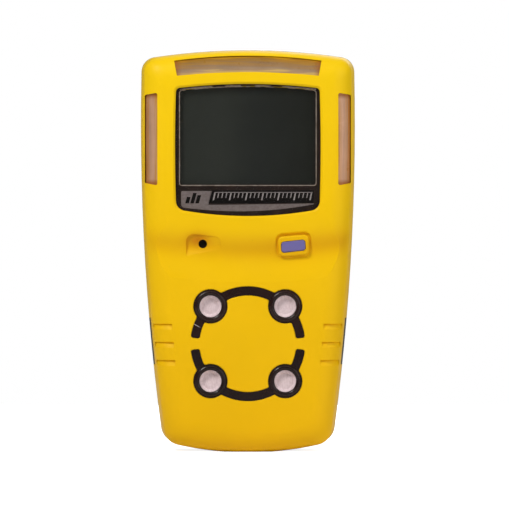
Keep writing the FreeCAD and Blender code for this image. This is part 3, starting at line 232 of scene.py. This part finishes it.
def casing_yellow():
    """Signal-yellow moulding, faintly clouded and specked; painted light makes it darker and more orange
    towards the foot, and painted shade darkens the waist and the buzzer's hollow.
    """
    n = Nodes("casing_yellow")
    n.set(Specular_IOR_Level=0.12)
    # Painted light: lighter and more lemon towards the top, darker and more orange towards the foot, as if
    # lit from above.
    height = n.span(n.axis("Z"), 0.0, 1.0, LOW.z, HIGH.z)
    tint = n.ramp(height, (
        (0.0, linear(236, 182, 3)), (0.5, linear(245, 195, 5)), (1.0, linear(253, 209, 12))))
    cloud = n.span(n.noise(45.0, 4.0), 0.955, 1.0, 0.3, 0.7)
    speck = n.span(n.noise(1500.0, 1.0), 1.0, 0.93, 0.74, 0.80)
    # Painted shade: the colour turns brown-orange along the waist and in the buzzer's hollow.
    painted_shade_tint = n.mix(n.math("ADD", waist_painted_shade(n), hollow_painted_shade(n)), tint, linear(180, 72, 2))
    blend = n.new("ShaderNodeVectorMath", operation="SCALE")
    n.link(painted_shade_tint, blend.inputs[0])
    n.link(n.math("MULTIPLY", cloud, speck), blend.inputs["Scale"])
    n.link(blend.outputs["Vector"], n.shader.inputs["Base Color"])
    n.link(n.span(n.noise(210.0, 4.0), 0.40, 0.54, 0.3, 0.7), n.shader.inputs["Roughness"])
    skin = n.bump(n.noise(3200.0, 2.0), 0.018 * MM, 0.5)
    n.bump(n.noise(70.0, 2.0), 0.25 * MM, 0.25, skin)
    return n.material


def light_bar(name, across, stops, along, ends):
    """Smoky diffuser: colour changes across it, fine drawn streaks along it, and painted shade that turns its
    ends amber-brown.
    """
    n = Nodes(name)
    n.set(Specular_IOR_Level=0.22)
    drawn = n.noise(1300.0, 2.0, along)
    tint = n.ramp(n.math("ADD", across(n), n.span(drawn, -0.10, 0.10, 0.38, 0.62)), stops)
    # Painted shade: the ends turn darker amber-brown where the casing meets them.
    tint = n.mix(ends(n), tint, linear(150, 84, 22))
    streak = n.span(drawn, 0.90, 1.07, 0.38, 0.62)
    blotch = n.span(n.noise(150.0, 3.0), 0.92, 1.07, 0.3, 0.7)
    shade = n.new("ShaderNodeVectorMath", operation="SCALE")
    n.link(tint, shade.inputs[0])
    n.link(n.math("MULTIPLY", streak, blotch), shade.inputs["Scale"])
    n.link(shade.outputs["Vector"], n.shader.inputs["Base Color"])
    n.link(n.span(n.noise(400.0, 3.0), 0.26, 0.40, 0.3, 0.7), n.shader.inputs["Roughness"])
    n.bump(n.noise(700.0, 2.0, along), 0.02 * MM, 0.4)
    return n.material


def side_bar_material(name, painted_light_gain):
    """Amber-brown by the casing all round, the ends darkened by painted shade, and rosy grey-brown between.
    Its last argument lightens every colour as painted light, so one bar is lit more than the other.
    """
    low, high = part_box("light_bar_right")
    half_height = (high.z - low.z) / 2

    def across(n):
        return n.span(n.math("ABSOLUTE", n.axis("X"), 0.0), 0.0, 1.0, low.x, high.x)

    # Painted shade at both ends of the bar.
    def ends(n):
        from_middle = n.math("ABSOLUTE", n.math("SUBTRACT", n.axis("Z"), (low.z + high.z) / 2), 0.0)
        return n.span(from_middle, 0.0, 0.75, half_height - 1.7 * MM, half_height - 0.6 * MM)

    stops = ((0.00, (196, 138, 56)), (0.12, (190, 142, 96)), (0.32, (188, 146, 120)),
             (0.60, (184, 142, 112)), (0.80, (176, 122, 74)), (1.0, (158, 100, 34)))
    lightened = [(position, linear(*(painted_light_gain * value for value in colour))) for position, colour in stops]
    return light_bar(name, across, lightened, (1, 1, 0.05), ends)


def top_bar_material():
    """Amber along the upper edge and rosy in the middle; the pale cream along the lower edge is a painted
    highlight, and the ends are darkened by painted shade.
    """
    low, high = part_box("light_bar_top")
    arc_radius = 176 * MM
    bar_height = 4.3 * MM
    arc_centre = high.z - arc_radius

    def across(n):
        flat = n.math("POWER", n.axis("X"), 2.0)
        rise = n.math("POWER", n.math("SUBTRACT", n.axis("Z"), arc_centre), 2.0)
        radius = n.math("SQRT", n.math("ADD", flat, rise), 0.0)
        return n.span(radius, 0.0, 1.0, arc_radius - bar_height, arc_radius)

    # Painted shade at both ends of the bar.
    def ends(n):
        sideways = n.math("ABSOLUTE", n.axis("X"), 0.0)
        return n.span(sideways, 0.0, 0.6, high.x - 2.2 * MM, high.x - 0.7 * MM)

    # The pale cream at the lower edge is a painted highlight.
    stops = ((0.00, linear(206, 174, 110)), (0.10, linear(168, 138, 108)), (0.27, linear(151, 124, 94)),
             (0.45, linear(152, 116, 74)), (0.67, linear(160, 116, 45)), (0.85, linear(163, 114, 34)),
             (1.0, linear(190, 142, 20)))
    return light_bar("light_bar_top", across, stops, (0.06, 1, 1), ends)


def window_clear():
    """Clear polycarbonate lens whose gloss is very slightly uneven."""
    n = Nodes("window_clear")
    n.set(Alpha=0.14, Specular_IOR_Level=0.25, Base_Color=(0.012, 0.011, 0.010, 1.0))
    n.link(n.span(n.noise(60.0, 1.0), 0.075, 0.085, 0.35, 0.75), n.shader.inputs["Roughness"])
    n.material.surface_render_method = "BLENDED"
    return n.material


def mask_black():
    """Printed black border: brown-black ink with a faint unevenness."""
    n = Nodes("mask_black")
    n.set(Specular_IOR_Level=0.3)
    n.link(n.ramp(n.noise(220.0, 4.0), ((0.3, linear(34, 22, 17)), (0.7, linear(52, 37, 30)))),
           n.shader.inputs["Base Color"])
    n.link(n.span(n.noise(500.0, 2.0), 0.3, 0.45), n.shader.inputs["Roughness"])
    return n.material


def screen_print(name, dark, light):
    """Screen print, slightly mottled."""
    n = Nodes(name)
    n.set(Specular_IOR_Level=0.15)
    tint = n.ramp(n.noise(1800.0, 3.0), ((0.3, linear(*dark)), (0.7, linear(*light))))
    n.link(tint, n.shader.inputs["Base Color"])
    n.link(n.span(n.noise(500.0, 2.0), 0.4, 0.6), n.shader.inputs["Roughness"])
    return n.material


def lcd_glass():
    """Unlit liquid-crystal glass: green-grey black with faint upright streaks, and painted light that makes
    it lighter to the left.
    """
    n = Nodes("lcd_glass")
    n.set(Specular_IOR_Level=0.15)
    low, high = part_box("lcd_panel")
    # Painted light: lighter to the left, darker to the right.
    side = n.span(n.axis("X"), 0.0, 1.0, low.x, high.x)
    columns = n.span(n.noise(180.0, 1.0, (1, 1, 0.03)), -0.05, 0.05, 0.3, 0.7)
    tint = n.ramp(n.math("ADD", side, columns), (
        (0.0, linear(56, 59, 54)), (0.3, linear(58, 61, 56)),
        (0.6, linear(48, 51, 48)), (1.0, linear(39, 41, 36))))
    n.link(tint, n.shader.inputs["Base Color"])
    n.link(n.span(n.noise(40.0, 1.0), 0.28, 0.32, 0.3, 0.7), n.shader.inputs["Roughness"])
    return n.material


def filter_white():
    """Porous membrane: off-white felted fibres, faintly pink."""
    n = Nodes("filter_white")
    n.set(Specular_IOR_Level=0.1)
    fibre = n.noise(2600.0, 5.0, (1, 1, 0.45), 0.7)
    n.link(n.ramp(fibre, ((0.3, linear(214, 190, 191)), (0.7, linear(242, 223, 225)))),
           n.shader.inputs["Base Color"])
    n.link(n.span(fibre, 0.7, 0.95), n.shader.inputs["Roughness"])
    n.bump(fibre, 0.08 * MM, 0.8)
    return n.material


def inlay_rubber():
    """Glossy black rubber with a dry skin and one short pale scuff across the left leg of the upper inlay."""
    n = Nodes("inlay_rubber")
    n.set(Specular_IOR_Level=0.31)
    skin = n.ramp(n.noise(60.0, 3.0), ((0.3, linear(27, 9, 6)), (0.7, linear(39, 16, 10))))
    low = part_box("sensor_gasket_upper")[0]
    scuff_slope = 0.55
    sideways = n.math("SUBTRACT", n.axis("X"), low.x + 1.45 * MM)
    upwards = n.math("SUBTRACT", n.axis("Z"), low.z + 3.55 * MM)
    off_line = n.math("ADD", upwards, n.math("MULTIPLY", sideways, scuff_slope))
    scuff = bell(n, (sideways, 1.0 * MM), (off_line, 0.12 * MM))
    worn = n.mix(n.span(scuff, 0.0, 0.9, 0.2, 0.7), skin, linear(196, 184, 180))
    n.link(worn, n.shader.inputs["Base Color"])
    n.link(n.span(n.noise(160.0, 4.0), 0.22, 0.33, 0.3, 0.7), n.shader.inputs["Roughness"])
    n.bump(n.noise(2200.0, 2.0), 0.02 * MM, 0.6)
    return n.material


def board_green():
    """Solder mask over copper tracks."""
    n = Nodes("board_green")
    n.set(Specular_IOR_Level=0.5)
    tracks = n.new("ShaderNodeTexVoronoi", feature="DISTANCE_TO_EDGE", distance="MANHATTAN")
    tracks.inputs["Scale"].default_value = 320.0
    n.link(n.place, tracks.inputs["Vector"])
    n.link(n.ramp(tracks.outputs["Distance"], ((0.06, (0.03, 0.2, 0.07)), (0.09, (0.01, 0.11, 0.04)))),
           n.shader.inputs["Base Color"])
    n.link(n.span(n.noise(300.0, 2.0), 0.25, 0.4), n.shader.inputs["Roughness"])
    n.bump(tracks.outputs["Distance"], 0.04 * MM, 0.4)
    return n.material


def label_grey():
    """Blank satin film label with the fine emboss of its carrier."""
    n = Nodes("label_grey")
    n.set(Metallic=0.35, Specular_IOR_Level=0.4)
    n.link(n.ramp(n.noise(120.0, 4.0), ((0.3, linear(178, 178, 180)), (0.7, linear(188, 188, 190)))),
           n.shader.inputs["Base Color"])
    n.link(n.span(n.noise(240.0, 3.0), 0.42, 0.48, 0.3, 0.7), n.shader.inputs["Roughness"])
    n.bump(n.noise(2400.0, 2.0), 0.01 * MM, 0.5)
    return n.material


# Name, lighter colour, darker colour, roughness, specular level, grain depth in mm, grains a metre.
MOULDED = (
    ("casing_black", (38, 37, 38), (30, 29, 30), 0.55, 0.25, 0.04, 1900.0),
    ("rubber_black", (30, 11, 7), (20, 6, 4), 0.27, 0.31, 0.02, 2200.0),
    ("key_violet", (115, 107, 164), (107, 99, 153), 0.5, 0.2, 0.03, 2400.0),
    ("membrane_black", (26, 24, 24), (16, 14, 14), 0.9, 0.1, 0.06, 5200.0),
    ("foam_grey", (62, 60, 58), (44, 42, 41), 0.8, 0.2, 0.1, 1500.0),
    ("chip_black", (38, 38, 40), (28, 28, 30), 0.5, 0.4, 0.02, 2600.0),
    ("connector_cream", (226, 214, 184), (212, 200, 168), 0.4, 0.4, 0.02, 2600.0),
    ("backlight_white", (238, 238, 232), (226, 226, 220), 0.3, 0.5, 0.02, 2600.0),
    ("zebra_grey", (138, 138, 144), (110, 110, 116), 0.6, 0.2, 0.02, 2600.0),
    ("sensor_can", (202, 200, 192), (190, 188, 180), 0.4, 0.4, 0.02, 2600.0),
    ("battery_sleeve", (54, 92, 152), (44, 80, 138), 0.3, 0.5, 0.02, 2600.0),
    ("infrared_dark", (56, 16, 24), (40, 8, 14), 0.15, 0.6, 0.005, 2600.0),
)
# Name, darker colour, lighter colour.
PRINTED = (
    ("print_grey", (132, 119, 116), (154, 141, 138)),
    ("print_pale", (176, 166, 164), (200, 190, 188)),
    ("print_black", (6, 3, 3), (16, 10, 9)),
    ("line_tan", (150, 132, 118), (206, 188, 174)),
)
# Name, colour, roughness, stretch of the streaks, streaks a metre.
METALS = (
    ("steel", (0.62, 0.61, 0.60), 0.30, (1, 1, 30), 900.0),
    ("spring_steel", (0.50, 0.50, 0.50), 0.26, (1, 1, 1), 2400.0),
    ("screw_steel", (0.46, 0.46, 0.47), 0.30, (1, 1, 1), 2000.0),
    ("brass", (0.78, 0.56, 0.25), 0.25, (1, 1, 1), 2000.0),
    ("gold_contact", (0.86, 0.64, 0.28), 0.20, (1, 1, 1), 1800.0),
    ("tungsten", (0.26, 0.26, 0.27), 0.45, (1, 1, 1), 2600.0),
)
MATERIALS = {
    "casing_yellow": casing_yellow(),
    "window_clear": window_clear(),
    "mask_black": mask_black(),
    "lcd_glass": lcd_glass(),
    "filter_white": filter_white(),
    "board_green": board_green(),
    "label_grey": label_grey(),
}
MATERIALS.update((row[0], moulded(*row)) for row in MOULDED)
MATERIALS.update((row[0], screen_print(*row)) for row in PRINTED)
MATERIALS.update((row[0], metal(*row)) for row in METALS)
# Materials that the record doesn't name, and the record's material that each stands with.
NODE_MATERIALS = {
    "light_bar_top": top_bar_material(),
    # Painted light: the right bar is lightened more than the left.
    "light_bar_left": side_bar_material("light_bar_left", 0.98),
    "light_bar_right": side_bar_material("light_bar_right", 1.09),
    "sensor_gasket_upper": inlay_rubber(),
}


def finish_cad_nodes():
    """Gives every CAD node its procedural material."""
    for part in frame["record"]["subparts"]:
        node = part["node"]
        material = NODE_MATERIALS.get(node, MATERIALS.get(part["material_slot"]))
        for slot in frame["nodes"][node].material_slots:
            slot.material = material


finish_cad_nodes()


# ------------------------------------------------------------------ printed pieces
def arc_points(start, end, sagitta, steps=24):
    """Points in X and Z along an arc from start to end. Its middle is sagitta, never 0, above the chord."""
    (x0, z0), (x1, z1) = start, end
    half = math.hypot(x1 - x0, z1 - z0) / 2
    radius = (half * half + sagitta * sagitta) / (2 * sagitta)
    ux, uz = (x1 - x0) / (2 * half), (z1 - z0) / (2 * half)
    points = []
    for i in range(steps + 1):
        along = half * (2 * i / steps - 1)
        rise = math.copysign(math.sqrt(radius * radius - along * along), radius) - (radius - sagitta)
        points.append(((x0 + x1) / 2 + ux * along - uz * rise, (z0 + z1) / 2 + uz * along + ux * rise))
    return points


def strip(bm, points, widths, y, thickness):
    """A closed flat band that follows points in X and Z, with its own width at each point."""
    rows = []
    last = len(points) - 1
    for i, (x, z) in enumerate(points):
        (xa, za), (xb, zb) = points[max(i - 1, 0)], points[min(i + 1, last)]
        length = math.hypot(xb - xa, zb - za)
        nx, nz = -(zb - za) / length * widths[i] / 2, (xb - xa) / length * widths[i] / 2
        rows.append([bm.verts.new(place) for place in (
            (x + nx, y, z + nz), (x - nx, y, z - nz),
            (x - nx, y + thickness, z - nz), (x + nx, y + thickness, z + nz))])
    for row, following in zip(rows, rows[1:]):
        for k in range(4):
            bm.faces.new((row[k], row[(k + 1) % 4], following[(k + 1) % 4], following[k]))
    bm.faces.new(rows[0])
    bm.faces.new(rows[-1])


def flat_piece(name, build, material):
    """A thin printed piece on the casing, made by build(bmesh)."""
    mesh = bpy.data.meshes.new(name)
    bm = bmesh.new()
    build(bm)
    bmesh.ops.recalc_face_normals(bm, faces=bm.faces)
    bm.to_mesh(mesh)
    bm.free()
    piece = bpy.data.objects.new(name, mesh)
    bpy.context.scene.collection.objects.link(piece)
    mesh.materials.append(MATERIALS[material])
    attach(piece, "casing")


def area(bm, outline, y, thickness):
    """A closed flat area in X and Z, facing -Y."""
    front = [bm.verts.new((x, y, z)) for x, z in outline]
    back = [bm.verts.new((x, y + thickness, z)) for x, z in outline]
    bm.faces.new(front)
    bm.faces.new(back)
    for i in range(len(outline)):
        bm.faces.new((front[i - 1], front[i], back[i], back[i - 1]))


def resample(points, step):
    """The same path with a point about every step."""
    result = [points[0]]
    for (x0, z0), (x1, z1) in zip(points, points[1:]):
        count = max(1, round(math.hypot(x1 - x0, z1 - z0) / step))
        for i in range(1, count + 1):
            result.append((x0 + (x1 - x0) * i / count, z0 + (z1 - z0) * i / count))
    return result


def corner(cx, cz, radius, start, end, steps=8):
    """Points round a corner, between two angles in degrees."""
    angles = [math.radians(start + (end - start) * i / steps) for i in range(steps + 1)]
    return [(cx + radius * math.cos(a), cz + radius * math.sin(a)) for a in angles]


WINDOW_LOW, WINDOW_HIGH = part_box("display_window")
PRINT_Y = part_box("window_mask")[0].y - 0.05 * MM
PRINT_THICKNESS = 0.02 * MM
GLYPH_Y = PRINT_Y - 0.02 * MM
PALE_LINE = 0.23 * MM


def broken_line(name, points, width, unevenness, gaps, seed):
    """A worn line: its width wanders, and it is missing near each gap, given as its x and its half length."""
    chance = random.Random(seed)
    path = resample(points, step=0.45 * MM)
    runs = [[]]
    for point in path:
        place = (point, width * (1 + unevenness * chance.uniform(-1, 1)))
        if any(abs(point[0] - x) < half for x, half in gaps):
            runs.append([])
        else:
            runs[-1].append(place)

    def build(bm):
        for run in runs:
            if len(run) > 1:
                strip(bm, [point for point, _ in run], [w for _, w in run], PRINT_Y, PRINT_THICKNESS)

    flat_piece(name, build, "line_tan")


def display_keyline():
    """The thin pale line round the clear part of the lens; its top edge is broken into dashes."""
    half = WINDOW_HIGH.x - 1.2 * MM
    bottom = WINDOW_LOW.z + 8.5 * MM
    shoulder = WINDOW_HIGH.z - 1.75 * MM
    radius = 0.7 * MM
    rise = 1.05 * MM
    left_side = corner(-half + radius, shoulder - radius, radius, 90, 180)
    left_side += corner(-half + radius, bottom + radius, radius, 180, 270)
    right_side = corner(half - radius, bottom + radius, radius, 270, 360)
    right_side += corner(half - radius, shoulder - radius, radius, 0, 90)
    inner_top = arc_points((half - radius, shoulder), (-half + radius, shoulder), -rise)
    chance = random.Random(5)
    inner_gaps = [(chance.uniform(-0.017, 0.017), chance.uniform(0.2, 0.7) * MM) for _ in range(9)]
    outer_z = WINDOW_HIGH.z - 0.42 * MM - rise
    outer_top = arc_points((half, outer_z), (-half, outer_z), -rise)
    outer_gaps = [(-8.1 * MM, 1.5 * MM), (0.0, 1.6 * MM), (8.0 * MM, 1.5 * MM)]
    broken_line("keyline_frame", left_side + right_side, PALE_LINE, unevenness=0.25, gaps=[], seed=3)
    broken_line("keyline_top", inner_top, PALE_LINE, unevenness=0.35, gaps=inner_gaps, seed=4)
    broken_line("keyline_outer", outer_top, PALE_LINE * 1.3, unevenness=0.3, gaps=outer_gaps, seed=6)


def emblem_band():
    """Grey patch with a slanted end and the crescent that follows the lens's lower edge."""
    left = WINDOW_LOW.x + 1.65 * MM
    right = WINDOW_HIGH.x - 1.85 * MM
    base = WINDOW_LOW.z + 0.2 * MM
    top = base + 6.75 * MM
    foot = base + 2.9 * MM
    slant_top = left + 8.7 * MM
    slant_foot = left + 7.6 * MM
    upper_radius = 0.4 * MM
    lower_radius = 1.0 * MM
    sag = 1.45 * MM
    outline = [(left + upper_radius, top), (slant_top, top), (slant_foot, foot)]
    outline += arc_points((slant_foot, foot), (right, base + 3.3 * MM), -0.05 * MM, 8)[1:]
    outline += arc_points((right, base + 3.05 * MM), (left + lower_radius, base + 2.1 * MM), sag, 30)
    outline += corner(left + lower_radius, base + 3.1 * MM, lower_radius, 268, 180)[1:]
    outline += corner(left + upper_radius, top - upper_radius, upper_radius, 180, 90, 5)[:-1]
    flat_piece("emblem_band", lambda bm: area(bm, outline, PRINT_Y, PRINT_THICKNESS), "print_grey")


def emblem_glyph():
    """A made-up mark: three dark leaning bars of different heights."""
    left = WINDOW_LOW.x + 2.8 * MM
    foot = WINDOW_LOW.z + 3.5 * MM
    lean = 0.28

    def build(bm):
        for start, width, height in ((0.0, 1.0, 1.8), (1.4, 1.0, 2.9), (2.8, 1.0, 2.3)):
            x0, x1 = left + start * MM, left + (start + width) * MM
            z1 = foot + height * MM
            area(bm, [(x0, foot), (x1, foot), (x1 + lean * height * MM, z1), (x0 + lean * height * MM, z1)],
                 GLYPH_Y, PRINT_THICKNESS)

    flat_piece("emblem_glyph", build, "print_black")


def scale_band():
    """Black band with slanted ends, behind the scale."""
    left = WINDOW_LOW.x + 9.2 * MM
    right = WINDOW_HIGH.x - 1.8 * MM
    foot = WINDOW_LOW.z + 3.5 * MM
    top = WINDOW_LOW.z + 7.15 * MM
    outline = [(left, foot), (right - 0.2 * MM, foot + 0.1 * MM), (right, top), (left + 1.0 * MM, top)]
    flat_piece("scale_band", lambda bm: area(bm, outline, PRINT_Y, PRINT_THICKNESS), "print_black")


def scale_marks():
    """A plain graduated scale: a thin rule with leaning ticks beneath it, longer at every fourth."""
    start = WINDOW_LOW.x + 10.9 * MM
    end = WINDOW_HIGH.x - 2.3 * MM
    top = WINDOW_LOW.z + 6.5 * MM
    rule = 0.14 * MM
    count = 25
    lean = 0.22

    def build(bm):
        area(bm, [(start, top), (end + rule, top), (end + rule, top + rule), (start, top + rule)],
             GLYPH_Y, PRINT_THICKNESS)
        for i in range(count):
            long = i % 4 == 0
            height = (2.0 if long else 1.35) * MM
            width = (0.38 if long else 0.25) * MM
            x = start + (end - start - width) * i / (count - 1)
            foot = top - 0.12 * MM - height
            area(bm, [(x - lean * height, foot), (x + width - lean * height, foot),
                      (x + width, foot + height), (x, foot + height)], GLYPH_Y, PRINT_THICKNESS)

    flat_piece("scale_marks", build, "print_pale")


def label_print():
    """A thin border and five blank ruled fields on the rear label, with no lettering."""
    low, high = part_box("rear_label")
    y = high.y - 0.004 * MM
    thickness = 0.012 * MM
    line = 0.25 * MM
    margin = 1.5 * MM
    left, right = low.x + margin, high.x - margin
    foot, top = low.z + margin, high.z - margin
    step = (top - foot) / 6
    split = left + 0.62 * (right - left)

    def build(bm):
        for z in (foot, top):
            strip(bm, [(left, z), (right, z)], [line, line], y, thickness)
        for x in (left, right):
            strip(bm, [(x, foot + line / 2), (x, top - line / 2)], [line, line], y, thickness)
        for row in range(1, 6):
            end = split if row < 4 else right - line
            z = foot + row * step
            strip(bm, [(left + line, z), (end, z)], [line / 2, line / 2], y, thickness)
        strip(bm, [(split, foot + line), (split, foot + 3.9 * step)], [line / 2, line / 2], y, thickness)

    flat_piece("label_print", build, "print_black")


display_keyline()
label_print()
emblem_band()
emblem_glyph()
scale_band()
scale_marks()


# ------------------------------------------------------------------ floor, light and camera
def pale_floor():
    """A plain near-white floor that the detector stands on."""
    mesh = bpy.data.meshes.new("floor")
    half = 0.45
    corners = [(-half, -half, 0), (half, -half, 0), (half, half, 0), (-half, half, 0)]
    mesh.from_pydata(corners, [], [(0, 1, 2, 3)])
    floor = bpy.data.objects.new("floor", mesh)
    floor.location.z = LOW.z - 0.02 * MM
    bpy.context.scene.collection.objects.link(floor)
    n = Nodes("pale_floor")
    n.set(Specular_IOR_Level=0.1, Roughness=0.9, Emission_Color=(1.0, 1.0, 1.0, 1.0))
    seen = n.new("ShaderNodeLightPath").outputs["Is Camera Ray"]
    n.link(n.span(seen, 0.0, 0.85), n.shader.inputs["Emission Strength"])
    n.link(n.ramp(n.noise(3.0, 2.0), ((0.3, (0.90, 0.90, 0.90)), (0.7, (0.93, 0.93, 0.93)))),
           n.shader.inputs["Base Color"])
    mesh.materials.append(n.material)


def white_surroundings():
    """White behind the object, and soft even light from every side."""
    world = bpy.data.worlds.new("studio")
    bpy.context.scene.world = world
    world.use_nodes = True
    tree = world.node_tree
    background = tree.nodes["Background"]
    background.inputs["Color"].default_value = (1.0, 1.0, 1.0, 1.0)
    path = tree.nodes.new("ShaderNodeLightPath")
    strength = tree.nodes.new("ShaderNodeMapRange")
    strength.inputs["To Min"].default_value = 0.16
    strength.inputs["To Max"].default_value = 1.0
    tree.links.new(path.outputs["Is Camera Ray"], strength.inputs["Value"])
    tree.links.new(strength.outputs["Result"], background.inputs["Strength"])


def soft_light(name, place, size, power):
    """A square area light, in metres and watts, turned towards the middle of the detector."""
    data = bpy.data.lights.new(name, "AREA")
    data.size = size
    data.energy = power
    lamp = bpy.data.objects.new(name, data)
    lamp.location = place
    lamp.rotation_euler = ((LOW + HIGH) / 2 - Vector(place)).to_track_quat("-Z", "Y").to_euler()
    bpy.context.scene.collection.objects.link(lamp)


def camera_in_front():
    """Level with the body and square to the display, aimed a little to the right of the middle."""
    distance = 1.5
    view_height = 0.14456
    aim = Vector((0.00186, -0.004, 0.0545))
    data = bpy.data.cameras.new("camera")
    data.sensor_fit = "VERTICAL"
    data.sensor_height = 36.0
    data.lens = data.sensor_height * distance / view_height
    data.clip_start = 0.05
    data.clip_end = 20.0
    camera = bpy.data.objects.new("camera", data)
    camera.location = aim - Vector((0, distance, 0))
    camera.rotation_euler = (math.radians(90), 0, 0)
    bpy.context.scene.collection.objects.link(camera)
    bpy.context.scene.camera = camera


pale_floor()
white_surroundings()
soft_light("key_light", (-0.50, -0.60, 0.80), size=0.22, power=6.6)
soft_light("top_front_light", (0.10, -0.40, 0.75), size=0.5, power=0.7)
soft_light("right_fill", (0.75, -0.66, 0.46), size=0.7, power=3.5)
soft_light("back_light", (0.35, 0.9, 0.7), size=0.9, power=5.0)
camera_in_front()
bpy.context.scene.view_settings.view_transform = "Standard"
